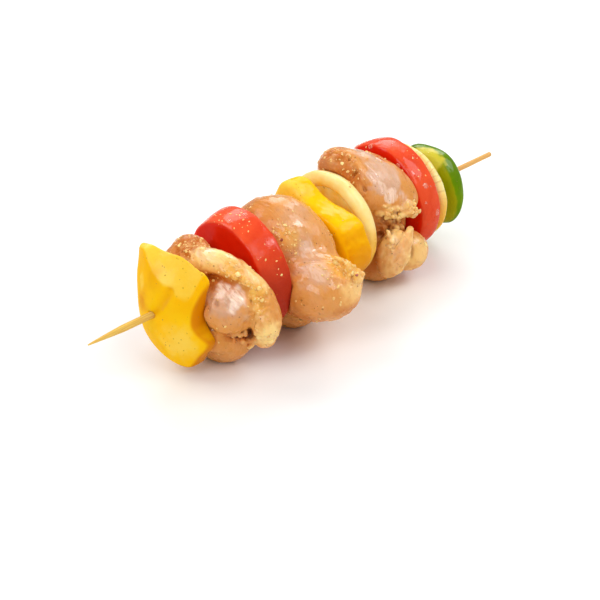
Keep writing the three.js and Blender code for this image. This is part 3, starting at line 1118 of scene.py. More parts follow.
@dataclass(frozen=True)
class BambooFinish:
    """Split bamboo: pale straw with fine fibres along it."""

    straw: Colour = srgb(238, 202, 104)
    amber: Colour = srgb(214, 160, 76)
    streak: Colour = srgb(176, 116, 56)
    rosy: Colour = srgb(226, 168, 108)
    juices: Juices = Juices(depth=0.001, into=0.08, shine=0.03, coat=0.0)

    def material(self, groups: Groups) -> bpy.types.Material:
        """Builds the material."""
        tree = MaterialTree("split_bamboo", groups, self.juices)
        fibre = tree.fibres((60.0, 2600.0, 2600.0), 0.0003)
        thin = tree.fibres((90.0, 5200.0, 5200.0), 0.0002)
        colour = tree.blend(tree.between(fibre, 0.35, 0.65), self.straw, self.amber)
        colour = tree.blend(tree.between(thin, 0.6, 0.72, 0.0, 0.5), colour, self.streak)
        colour = tree.blend(tree.times(tree.mottle(30.0, 0.15), 0.35), colour, self.straw)
        along = tree.add("ShaderNodeSeparateXYZ", {0: tree.place()}).outputs[0]
        tree.put("Base Color", tree.blend(tree.between(along, 0.02, 0.07, 0.0, 0.7), colour, self.rosy))
        tree.put("Roughness", tree.between(fibre, 0.3, 0.7, 0.5, 0.7))
        tree.bumps((fibre, 0.0002), (thin, 0.0001))
        return tree.material


@dataclass(frozen=True)
class SpiceFinish:
    """Ground spice or seed, each grain a little darker or lighter than the next."""

    name: str
    light: Colour
    dark: Colour
    juices: Juices = Juices(depth=0.0008, into=0.15, coat=0.4, coat_roughness=0.15)

    def material(self, groups: Groups) -> bpy.types.Material:
        """Builds the material."""
        tree = MaterialTree(self.name, groups, self.juices)
        tree.put("Base Color", tree.blend(tree.mottle(600.0, 0.25), self.light, self.dark))
        tree.put("Roughness", tree.wetness(500.0, 0.25, 0.5)["Roughness"])
        tree.bumps((tree.noise(tree.place(), 3000.0), 0.00008))
        return tree.material


@dataclass(frozen=True)
class DropFinish:
    """A clear drop of juice, mostly see-through, so that it shows what it lies on."""

    tint: Colour = srgb(250, 148, 112)
    pale: Colour = srgb(255, 196, 168)
    juices: Juices = Juices(into=0.0, shine=1.0, coat=1.0, coat_roughness=0.03)

    def material(self, groups: Groups) -> bpy.types.Material:
        """Builds the material."""
        tree = MaterialTree("clear_juice", groups, self.juices)
        shade = tree.mottle(400.0, 0.2)
        tree.put("Base Color", tree.blend(shade, self.tint, self.pale))
        tree.put("Roughness", tree.between(shade, 0.0, 1.0, 0.02, 0.06))
        tree.put("Alpha", tree.between(shade, 0.0, 1.0, 0.3, 0.45))
        return tree.material


@dataclass(frozen=True)
class FloorFinish:
    """Plain pale table top."""

    pale: Colour = (0.93, 0.925, 0.92)
    paler: Colour = (0.96, 0.955, 0.95)

    def material(self, groups: Groups) -> bpy.types.Material:
        """Builds the material."""
        tree = MaterialTree("pale_table", groups, Juices(into=0.0, shine=0.2, coat=0.0))
        tree.put("Base Color", tree.blend(tree.mottle(3.0, 0.3), self.pale, self.paler))
        tree.put("Roughness", 0.7)
        return tree.material


# ------------------------------------------------------------------ kinds of piece

PIECE_GAP = 0.15
CHANNEL = Rod(1.3)
CHANNEL_EDGE = 0.3


@dataclass(frozen=True)
class Piece(ABC):
    """A piece of food: the node that it stands for and its slot."""

    node: str
    slot: str

    @abstractmethod
    def limits(self) -> tuple[Vec, Vec]:
        """The lowest and the highest corner of the space that holds the piece."""

    @abstractmethod
    def field(self, p: Array) -> Array:
        """The distance to the finished surface."""

    @abstractmethod
    def marks(self, surface: Surface) -> Marks:
        """What the piece's material, and the things strewn on it, read from its surface."""

    def build(self, material: bpy.types.Material) -> bpy.types.Object:
        """Makes the piece and lets it stand for its solid."""
        surface = wrap(self.field, *self.limits())
        made = make_object(f"fresh_{self.node}", surface, self.marks(surface))
        settle_piece(made, material, self.slot, self.node)
        return made


@dataclass(frozen=True)
class PepperPiece(Piece):
    """A piece of pepper: its wall, which of its faces is skin, its relief, and where light and shade are
    painted on it.
    """

    wall: Wall
    stations: Pair
    skin_sides: tuple[int, ...]
    wrinkles: tuple[Wrinkle, ...]
    drops: float = 0.0
    seeds: float = 0.1
    # painted shade patches; on the green pepper they mark a paler flesh tone
    shades: tuple[Patch, ...] = ()
    # painted light: patches where the skin turns to the paler flesh colour
    lights: tuple[Patch, ...] = ()
    # painted shade along creases, and how strongly rims that face down and right are painted in shade
    painted_crease_shades: tuple[Seam, ...] = ()
    painted_rim_shade: float = 0.0
    RIM, FRONT, BACK = 0, 1, 2
    MARGIN = 2
    SKIN_BORDER = Clouds(19, 3)
    SEED_BEDS = Clouds(23, 5)

    def limits(self) -> tuple[Vec, Vec]:
        """The lowest and the highest corner of the space that holds the piece."""
        low = self.wall.outline.points.min(axis=0) - self.MARGIN
        high = self.wall.outline.points.max(axis=0) + self.MARGIN
        start, end = self.stations
        return (start, *low), (end, *high)

    def field(self, p: Array) -> Array:
        """The distance to the finished surface."""
        relief = sum(wrinkle(p) for wrinkle in self.wrinkles)
        return smooth_max(self.wall(p) - relief, -CHANNEL(p), CHANNEL_EDGE)

    def marks(self, surface: Surface) -> Marks:
        """What the piece's material, and the things strewn on it, read from its surface."""
        p = surface.points
        sides = np.array(self.wall.sides(p))
        skinned = sides[list(self.skin_sides)].max(axis=0)
        bare = np.delete(sides, self.skin_sides, axis=0).max(axis=0)
        uneven = 0.2 * self.SKIN_BORDER(p)
        strewn = ease(self.SEED_BEDS(p), -0.1, 0.5)
        # painted shade on rims that face down and right, and along creases
        down_right = -surface.normals[:, 1] - 0.7 * surface.normals[:, 2]
        on_rim = ease(sides[self.RIM] - np.delete(sides, self.RIM, axis=0).max(axis=0), -0.9, 0.4)
        rim_painted_shade = self.painted_rim_shade * on_rim * ease(down_right, 0.1, 0.9)
        creased = [crease(p) for crease in self.painted_crease_shades]
        # painted light: the skin mark is taken away inside the light patches
        outside_painted_lights = 1 - Patch.strongest(self.lights, p)
        return {
            "skin": ease(skinned - bare + uneven, -0.5, 0.3) * outside_painted_lights,
            "shade": reduce(np.maximum, [rim_painted_shade, *creased], Patch.strongest(self.shades, p)),
            "wet": surface.upward(0.1, 0.7),
            "fleck": np.full(len(p), 0.5),
            "drops": self.drops * surface.upward(-0.2, 0.6),
            "seeds": self.seeds * strewn * surface.upward(0.0, 0.7),
        }


@dataclass(frozen=True)
class OnionPiece(Piece):
    """A layer of onion: its field and the stations that it lies between."""

    shape: Field
    stations: Pair
    wrinkle: Wrinkle
    veined: float = 0.0
    # how strongly the hollow is painted orange, as stain and shade
    hollow: float = 1.0
    VEINS = 34
    REACH = 27
    DRIFT = Clouds(5, 7)

    def limits(self) -> tuple[Vec, Vec]:
        """The lowest and the highest corner of the space that holds the piece."""
        start, end = self.stations
        return (start, -self.REACH, -self.REACH), (end, self.REACH, self.REACH)

    def field(self, p: Array) -> Array:
        """The distance to the finished surface."""
        return smooth_max(self.shape(p) - self.wrinkle(p), -CHANNEL(p), CHANNEL_EDGE)

    def marks(self, surface: Surface) -> Marks:
        """What the layer's material reads from its surface."""
        _, y, z = surface.points.T
        drift = self.DRIFT(surface.points)
        wave = np.cos(self.VEINS * np.arctan2(z, y) + 2.5 * drift)
        spoke = np.stack([y, z], axis=1) / np.hypot(y, z)[:, None]
        inward = -(surface.normals[:, 1:] * spoke).sum(axis=1)
        # painted shade: darker toward the lower right edge, and orange in the hollow, partly marinade stain
        painted_low_shade = ease(-z - y, 4, 24)
        return {
            "wet": surface.upward(0.1, 0.7),
            "vein_and_shade": np.maximum(self.veined * ease(wave, 0.75, 1.0), painted_low_shade),
            "stain": np.clip(self.hollow * ease(inward + 0.3 * drift, -0.3, 0.4) + 0.8 * painted_low_shade, 0, 1),
        }


@dataclass(frozen=True)
class ChickenChunk(Piece):
    """A chunk of thigh meat pressed on to the stick between its neighbours."""

    span: Pair
    box: tuple[Vec, Vec]
    blend: float
    neighbours: tuple[Field, ...]
    lobes: tuple[Field, ...]
    wrinkles: tuple[Wrinkle | Seam, ...]
    fringes: tuple[Fringe, ...]
    patches: dict[Tone, tuple[Patch, ...]]
    DETAIL = 3.5
    SHRED_REACH, SHRED_EDGE = 1.2, 0.7
    NEIGHBOUR_EDGE, END_EDGE, REST_EDGE, HOLE_EDGE = 1.0, 1.2, 0.8, 0.4
    OCCLUSION = 2.0
    SPICINESS = 0.12
    CLUSTERS = Clouds(33, 6)
    FAR_STRENGTH = 0.6
    FAR_CLOUDS = ((Tone.PINK, Clouds(74, 9)), (Tone.STAIN, Clouds(75, 6)), (Tone.SPICE, Clouds(76, 8)))

    def limits(self) -> tuple[Vec, Vec]:
        """The lowest and the highest corner of the space that holds the chunk."""
        return self.box

    def bulk(self, p: Array) -> Array:
        """The distance to the smooth chunk, before its relief and its cuts."""
        parts = (lobe(p) for lobe in self.lobes)
        return reduce(lambda a, b: smooth_min(a, b, self.blend), parts)

    def field(self, p: Array) -> Array:
        """The distance to the finished surface."""
        distance = self.bulk(p)
        near = np.abs(distance) < self.DETAIL
        spots, value = p[near], distance[near]
        value = value - sum(wrinkle(spots) for wrinkle in self.wrinkles)
        for fringe in self.fringes:
            for shred in fringe.shreds():
                close = (np.abs(spots - shred.at) < max(shred.size) + self.SHRED_REACH).all(axis=1)
                value[close] = smooth_min(value[close], shred(spots[close]), self.SHRED_EDGE)
        distance[near] = value
        for neighbour in self.neighbours:
            distance = smooth_max(distance, PIECE_GAP - neighbour(p), self.NEIGHBOUR_EDGE)
        outside = np.maximum(self.span[0] - p[:, 0], p[:, 0] - self.span[1])
        distance = smooth_max(distance, outside, self.END_EDGE)
        distance = smooth_max(distance, STICK_FRAME.rest - p[:, 2], self.REST_EDGE)
        return smooth_max(distance, -CHANNEL(p), self.HOLE_EDGE)

    def marks(self, surface: Surface) -> Marks:
        """What the chunk's material, and the things strewn on it, read from its surface."""
        p = surface.points
        # painted shade: how closed in each spot is, which darkens crevices in the material, partly marinade
        # gathered there
        reaches = (self.OCCLUSION, 2 * self.OCCLUSION)
        openness = sum(self.field(p + surface.normals * reach) / reach for reach in reaches)
        crevice_shade_and_marinade = np.clip(1 - openness / 2, 0, 1)
        ragged = reduce(np.maximum, (f.closeness(p) for f in self.fringes), np.zeros(len(p)))
        marks = {"fleck": np.clip(1.2 - 2.5 * crevice_shade_and_marinade, 0, 1)}
        for tone in Tone:
            marks[tone.value] = Patch.strongest(self.patches.get(tone, ()), p)
        far = ease(p[:, 1], -2, 8)
        for tone, clouds in self.FAR_CLOUDS:
            strength = far * ease(clouds(p), 0.0, 0.6)
            marks[tone.value] = np.maximum(marks[tone.value], self.FAR_STRENGTH * strength)
        # painted shade in crevices, weaker on ragged shreds and pink muscle
        marks["crevice_shade_and_marinade"] = crevice_shade_and_marinade * (1 - 0.6 * ragged) * (1 - 0.6 * marks["pink"])
        marks["wet"] = surface.upward(0.0, 0.6) * (1 - marks["stain"])
        marks["cream"] = np.maximum(marks["cream"], 0.65 * ragged)
        clusters = ease(self.CLUSTERS(p), 0.1, 0.7)
        marks["spice"] = np.clip(marks["spice"] + self.SPICINESS * (0.3 + clusters), 0, 1)
        return marks


# ------------------------------------------------------------------ peppers and onions


def make_finishes(groups: Groups) -> dict[str, bpy.types.Material]:
    """The material of the food in each slot."""
    yellow = PepperFinish(
        "yellow_pepper",
        skin=srgb(255, 200, 14),
        skin_deep=srgb(252, 184, 2),
        flesh=srgb(255, 212, 84),
        flesh_deep=srgb(252, 200, 52),
        # painted shade: the deeper orange of shaded rims, creases and patches
        shade=srgb(218, 126, 0),
        wettest=0.35,
    )
    red = PepperFinish(
        "red_pepper",
        skin=srgb(226, 40, 8),
        skin_deep=srgb(212, 28, 4),
        flesh=srgb(240, 88, 46),
        flesh_deep=srgb(222, 62, 28),
        # painted shade: the darker red of rims that face down and right
        shade=srgb(160, 42, 26),
        specks=0.01,
    )
    green = PepperFinish(
        "green_pepper",
        skin=srgb(106, 138, 0),
        skin_deep=srgb(84, 124, 0),
        flesh=srgb(158, 154, 4),
        flesh_deep=srgb(134, 142, 0),
        # not shade: a paler flesh tone at the top of the green piece
        shade=srgb(204, 192, 60),
        specks=0.01,
    )
    finishes = {finish.name: finish for finish in (yellow, red, green)}
    finishes |= {"onion": OnionFinish(), "chicken": ChickenFinish()}
    return {slot: finish.material(groups) for slot, finish in finishes.items()}


def make_peppers() -> tuple[PepperPiece, ...]:
    """The five pieces of pepper."""
    waves = rows(Wrinkle, (9, 0.22, 41), (5, 0.12, 42))
    slice_off = Bevel(
        (
            (13, 31, 19.8, 34, 20.8),
            (6.6, 30, 20.8, 34.5, 21.4),
            (2.6, 28.4, 17.3, 35, 21),
            (-0.9, 28.1, 14.6, 35.4, 21.2),
            (-5.1, 28.7, 12.4, 36, 21.4),
            (-8.5, 29.9, 9.9, 36.4, 20.8),
            (-11.8, 32, 9.2, 36.8, 20),
            (-13.3, 33.7, 12, 37, 19.2),
            (-15.3, 35, 16, 37.1, 17.9),
        )
    )
    corner = Wall(
        Section.loop(
            (12, 23), (9.8, 15), (9, 9), (8.4, 3), (7.4, -3.4), (6.4, -9), (2, -14.4), (-3.4, -18.6),
            (-9.6, -20), (-13.4, -15), (-16.8, -8.6), (-14.6, -4.6), (-13.4, -1.4), (-13.7, 4.3),
            (-15.1, 9.6), (-17.4, 16.6), (-15.5, 20.5), (-9, 24), (0, 25),
        ),
        Furrow(Dome(25.4, 3, 0, 20, 56), (-2.8, 3.4), (-6.2, 10.4), 1.1, 1.5),
        Slant(36.04, -0.144, -0.068),
        edges=(0.9, 0.8),
        bow=0.2,
        cuts=(slice_off,),
    )
    saddle = Wall(
        Section.loop(
            (12.8, 17.6), (16, 10.4), (16.4, -3.2), (11.2, -15.2), (0, -19.2), (-12, -16), (-20.4, -7.6),
            (-22.6, 0), (-20.8, 6.9), (-17.4, 12), (-12, 14.4), (-6, 15.6), (-1, 17.6), (3, 20.4),
            (7, 21.8), (11, 20.4),
        ),
        Furrow(Dome(92.8, 8, 4.8, 128, 192), (-8, -2.6), (3.5, 27), 0.8, 3.2),
        Slant(104.3, -0.17),
        edges=(2.4, 2.0),
        bow=0.4,
    )
    tail = Wall(
        Section.loop(
            (9.6, 12.8), (15.2, 6.4), (16, -2.4), (12.8, -10.4), (4.8, -15.2), (-4.8, -15.2),
            (-12, -12.8), (-15.2, -8), (-16.2, -1.6), (-14.8, 4), (-11.6, 9.6), (-6.4, 13.6), (2.4, 14.4),
        ),
        Dome(155.8, 0, 0, 21.6, 21.6),
        Dome(170.0, 0, 0, -30.4, -30.4),
        edges=(1.2, 1.2),
    )
    front_round = Wall(
        Section.ring(-0.8, 1.7, 21.3, (0, 0.01)),
        Dome(57.4, 0, 0, 2000, 2000),
        Dome(67, 0, 0, 152, 152),
        edges=(1.1, 1.5),
        bow=0.6,
        flare=1.2,
    )
    back_round = Wall(
        Section.ring(5.1, -1, 22.8),
        Dome(138.3, 3.2, 0, 150, 150),
        Dome(149, 3.2, 0, 152, 152),
        edges=(1.5, 1.5),
        bow=0.9,
    )
    outside = (PepperPiece.RIM, PepperPiece.FRONT)
    front, back = (PepperPiece.FRONT,), (PepperPiece.RIM, PepperPiece.BACK)
    yellow, red, green = "yellow_pepper", "red_pepper", "green_pepper"
    # painted shade: darker orange patches on the left of the corner piece
    painted_corner_shades = rows(
        Patch,
        ((28, 0.5, 13.4), (4, 4, 5.5), 0.35, (0.0, 1.3)),
        ((26, 4.4, 3.4), (2.4, 3, 5), 0.6, (0.0, 1.3)),
    )
    # painted shade along the crease of the corner's front
    painted_corner_crease = Seam(((25.8, -1.2, 0.8), (26.4, -3.2, 3.4), (27.3, -5, 6), (28.7, -6.8, 11.4)), 0.55, 1.1)
    # painted light: a brighter lower front and a pale highlight stripe on the left rim
    painted_corner_lights = rows(
        Patch,
        ((27.5, -10, -9), (7, 8, 8), 0.9, (0.3, 1.25)),
        ((26.6, 5.2, 11), (2, 1.3, 5.5), 0.8, (0.5, 1.2)),
    )
    # painted light: a brighter left end of the middle yellow piece
    painted_saddle_light = Patch((93, 6, 19), (6, 8, 7), 1.0, (0.6, 1.2))
    # not shade: a paler flesh tone at the top of the green piece
    tail_shade = Patch((159, -2, 14), (4.5, 10, 8), 1.0, (0.6, 1.0))
    return (
        PepperPiece(
            "yellow_pepper_front", yellow, corner, (22, 44), outside, waves[:1],
            shades=painted_corner_shades, lights=painted_corner_lights, painted_crease_shades=(painted_corner_crease,), painted_rim_shade=0.9,
        ),
        PepperPiece(
            "red_pepper_front", red, front_round, (54, 72), front, waves,
            drops=0.2, seeds=1.0, painted_rim_shade=0.75,
        ),
        PepperPiece(
            "yellow_pepper_middle", yellow, saddle, (90, 110), outside, (*waves, Wrinkle(2.2, 0.12, 43)),
            lights=(painted_saddle_light,), painted_rim_shade=0.7,
        ),
        PepperPiece(
            "red_pepper_back", red, back_round, (136, 155), front, waves,
            drops=1.0, seeds=0.4, painted_rim_shade=0.2,
        ),
        PepperPiece("green_pepper_back", green, tail, (153, 173), back, waves[:1], shades=(tail_shade,)),
    )


def make_onions() -> tuple[OnionPiece, ...]:
    """The three layers of onion."""
    inner = Bowl(
        Section.ring(2.4, 0.4, 16.8, (0.03, 0.01)),
        (0, 110.9), (0.5, 110.7), (0.74, 110.3), (0.85, 110), (0.94, 109.8), (1, 110),
        (1.02, 110.8), (0.96, 112), (0.75, 113.12), (0.45, 113.68), (0, 114),
    )
    outer = Bowl(
        Section.ring(2.4, 0.4, 21.1, (0.03, 0.01)),
        (0, 114.4), (0.45, 114.08), (0.66, 112.64), (0.72, 110.9), (0.76, 109.6), (0.83, 108.96),
        (0.94, 109.2), (1, 110.56), (0.99, 112.48), (0.93, 114.56), (0.78, 116.16), (0.5, 116.96),
        (0, 117.2),
    )
    back = Wall(
        Section.ring(3, -1.2, 19.2, (0.02, 0.02)),
        Dome(149.8, 3.2, 0, 88, 88),
        Dome(154.3, 3.2, 0, 112, 112),
        edges=(2.2, 2.2),
    )
    wave = Wrinkle(7, 0.2, 51)
    return rows(
        OnionPiece,
        ("onion_middle_inner", "onion", inner, (107, 117), wave),
        ("onion_middle_outer", "onion", outer, (106, 120), wave),
        ("onion_back", "onion", back, (148, 160), wave, 1.0, 0.1),
    )


# ------------------------------------------------------------------ chunks of chicken

CREASED, RIDGED, LEVEL = Relief.CREASED, Relief.RIDGED, (0, 0, 0)


def make_front_chunk(neighbours: tuple[Field, ...]) -> ChickenChunk:
    """The folded chunk with a strap of meat round a knob."""
    return ChickenChunk(
        "chicken_front", "chicken", (34.5, 62), ((34, -34, -26), (63, 23, 23.5)), 1.4, neighbours,
        lobes=rows(
            Lobe,
            ((48.8, -1.6, -0.8), (14.4, 11.2, 12)),
            ((48.8, -4, -6.4), (9.6, 18.4, 19.2)),
            ((45.8, -16.8, 1.8), (9.6, 9.2, 8.6), (20, 0, 0)),
            ((44.8, -10, -9.4), (8, 8, 8)),
            ((46.8, 4.8, 10.4), (8.2, 8.8, 8.4)),
            ((49.6, 10.4, -4), (8.8, 10.4, 13.6)),
            ((47.6, -19.6, 3.6), (7.6, 7.4, 7)),
            ((46.5, -11.5, 8.5), (4, 5.5, 4)),
            ((51.8, -26, -7.6), (4, 4, 3.6)),
            ((50.6, -27.6, -2), (4, 4.2, 5.6)),
        )
        + rows(
            Strap,
            (
                ((43.6, -0.8, 14), (47, -10.4, 15.6), (50.4, -18.4, 11.8))
                + ((52.8, -25.2, 5), (53, -27.2, -2.6), (52.4, -25.6, -8.6)),
                (4.8, 4.3, 4.2, 4.2, 4.6, 3.6),
            ),
        ),
        wrinkles=rows(
            Wrinkle,
            (9, 0.4, 61),
            ((3.4, 9, 9), 0.2, 62, CREASED),
            (2.4, 0.14, 63),
            ((6, 14, 8), 0.7, 60, RIDGED, (0, 20, 0), (48.8, 14, 0), (18, 14, 26)),
            ((3.4, 2.4, 3.4), 0.6, 64, RIDGED, LEVEL, (42.5, -19, 4), (7, 8, 8)),
            ((3, 8, 1.9), 0.3, 65, RIDGED, LEVEL, (38.5, -16, -2), (5, 6, 6)),
            (2.6, 0.7, 66, RIDGED, LEVEL, (44, 2, 18), (8, 9, 6)),
            ((3.4, 2.2, 2.2), 0.45, 67, RIDGED, LEVEL, (49, -27, 2), (5, 6, 10)),
            (2.2, 1.0, 68, RIDGED, LEVEL, (43.5, -21.5, -6.5), (5, 5, 4.5)),
        )
        + rows(
            Seam,
            (((43, -13.9, 10.3), (45.2, -17, 10.8), (47.4, -20.8, 9.3), (50.5, -22.1, 6.3)), 1.0, 1.3),
            (((45, -20, 9.9), (43.6, -23, 7.5), (41.5, -24.5, 2.6), (41.6, -24.2, -0.4)), 1.1, 1.2),
            (((39.8, -16.8, 9.2), (37.1, -17.9, 5.9), (38.8, -22, 4.8), (41.6, -24.2, -0.4)), 0.9, 1.1),
            (((41.8, -18.2, 10), (40.6, -21, 7), (40.2, -22.4, 3)), -0.8, 0.8),
            (((46.5, -22, 8.4), (45.5, -24.6, 5), (44.6, -25.4, 1)), -0.6, 0.8),
            (((38.5, -14, 5), (38, -16, 0), (38.5, -16.5, -5)), -0.35, 0.7),
            (((43, -11, 14.6), (45, -17.4, 15.1), (48, -23.4, 12), (48.8, -27, 5)), 0.5, 0.9),
        ),
        fringes=rows(
            Fringe,
            (
                ((44.5, -16, 15), (46.9, -21.3, 14.5), (48.6, -24.6, 11.9))
                + ((48.8, -26.8, 6), (48.4, -27.6, -1)),
                40, 0.5, (0.3, 0.75), 1, (1.0, 1.5),
            ),
            (((42, -21, -4), (44.5, -23.5, -6), (47, -25.5, -9)), 22, 1.1, (0.5, 1.1), 2),
        ),
        patches={
            Tone.CREAM: rows(
                Patch,
                ((45, -7, 18.5), (8, 12, 5)),
                ((52, -22, 14), (5, 7, 7), 0.8),
                ((50, -30, -4), (5, 4, 7)),
            ),
            Tone.PINK: rows(Patch, ((42.5, -19, 6), (7, 8, 6)), ((42, -4, 18), (4, 4, 4), 0.6)),
            # painted highlights on the knob and the strap
            Tone.PALE: rows(
                Patch,
                ((42.5, -17, 10), (5, 4, 2.6), 0.9, (0.5, 1.0)),
                ((44.4, -22, 7), (4.8, 5, 6), 0.9, (0.5, 1.0)),
                ((44.5, -7, 18.5), (4, 4, 3), 0.4),
            ),
            Tone.GOLDEN: rows(Patch, ((46, -18.6, 15.5), (4, 6, 3), 0.8), ((49, -26, 9), (4, 4, 8), 0.7)),
            # marinade stain on the left lump, and painted shade in the recess above the knob and under it
            Tone.STAIN: rows(
                Patch,
                ((43.5, -14, 11), (5, 9, 3.4)),
                ((45, 2, 18), (7, 7, 6)),
                ((43.6, -22, -6.5), (6, 6, 4), 0.9),
            ),
            Tone.SPICE: rows(
                Patch,
                ((46, -18.6, 16), (4, 7, 3)),
                ((49, -26, 9), (4, 4, 8)),
                ((50, -30, -5), (4, 4, 6), 0.7),
                ((45, 1, 18.3), (7, 7, 5)),
            ),
        },
    )


def make_middle_chunk(neighbours: tuple[Field, ...]) -> ChickenChunk:
    """The large smooth chunk with a second lobe in front."""
    return ChickenChunk(
        "chicken_middle", "chicken", (66, 97), ((65, -42, -26), (98, 21, 26)), 3.4, neighbours,
        lobes=rows(
            Lobe,
            ((80.8, -2.4, 0.8), (18, 12.8, 13.6)),
            ((81.6, -0.8, 5.2), (15.5, 17.6, 18)),
            ((85.6, -8.8, 4.8), (10.6, 13.6, 12)),
            ((80, -20.8, -2.4), (13.5, 18.2, 11.8), (-8, 0, 0)),
            ((81.6, -5.6, -11.2), (12, 16, 13.6)),
            ((80.8, 8.8, -6.4), (9.6, 10.4, 13.6)),
            ((86, -29, 0.8), (6.4, 6.2, 4.6)),
        ),
        wrinkles=rows(
            Wrinkle,
            (11, 0.5, 71),
            ((4.5, 14, 14), 0.22, 72, CREASED),
            ((2.2, 4, 4), 0.1, 73),
            ((6, 14, 8), 0.7, 70, RIDGED, (0, -20, 0), (81, 14, 0), (20, 14, 26)),
            (3, 0.5, 75, RIDGED, LEVEL, (84, -33, 6), (8, 7, 5)),
        )
        + rows(
            Seam,
            (((73.1, -16.4, 4.2), (75.1, -20.1, 6.9), (78.5, -23.9, 9.1), (82.6, -26.9, 9.5)), -0.6, 1.1),
            (((77.3, -33, 5.7), (76.3, -35.7, 2.1), (75.4, -35.8, -1.4)), -0.45, 0.9),
            (((73.2, -16.2, -12), (74.2, -21.1, -11), (73.3, -28.5, -7.2), (77.1, -36.6, -4.1)), 0.6, 0.9),
            (((79.8, 7.5, 20.8), (74.6, 0.9, 19.4), (73.1, -5.6, 16.7)), 0.5, 0.9),
        ),
        fringes=rows(
            Fringe,
            (
                ((82.5, -27.8, 9), (84.8, -28.7, 8.4), (85.2, -31, 7.8))
                + ((86.7, -33.6, 6), (89.6, -34.4, 3.4)),
                46, 0.6, (0.5, 1.2), 3, (1.0, 2.0),
            ),
            (((83.5, -29.8, 7.6), (84, -33, 6), (85.6, -36.2, 2.4)), 34, 1.3, (0.5, 1.3), 8, (1.0, 2.0)),
        ),
        patches={
            Tone.PINK: rows(
                Patch,
                ((76, -26, 7), (7, 9, 6), 0.9),
                ((83, -9, 21), (7, 7, 4), 0.5),
                ((78, -17, 13), (5, 5, 5), 0.8),
            ),
            # painted highlights on the upper and lower lobes
            Tone.PALE: rows(
                Patch,
                ((79.5, -18.5, 11.6), (3.6, 3.6, 5), 0.4, (0.8, 1.0)),
                ((76, -28, 7.4), (3.4, 4.4, 3.6), 0.35, (0.8, 1.0)),
            ),
            Tone.GOLDEN: rows(Patch, ((76, -13, 14.5), (4, 5, 4), 0.6), ((84, -31, 8), (8, 7, 4), 0.8)),
            Tone.CREAM: rows(Patch, ((83, -37, 2), (6, 5, 5), 0.6)),
            # a darker tone on top, and painted shade in the lower crevice and on the underside
            Tone.STAIN: rows(
                Patch,
                ((76, 3, 21), (6, 9, 6), 0.35),
                ((72, -22, -7), (5, 10, 5), 0.7),
                ((80, -36, -5), (7, 5, 3), 0.5),
            ),
            Tone.SPICE: rows(Patch, ((76, -13, 14.5), (5, 7, 6)), ((83, -32, 7.5), (8, 7, 5))),
        },
    )


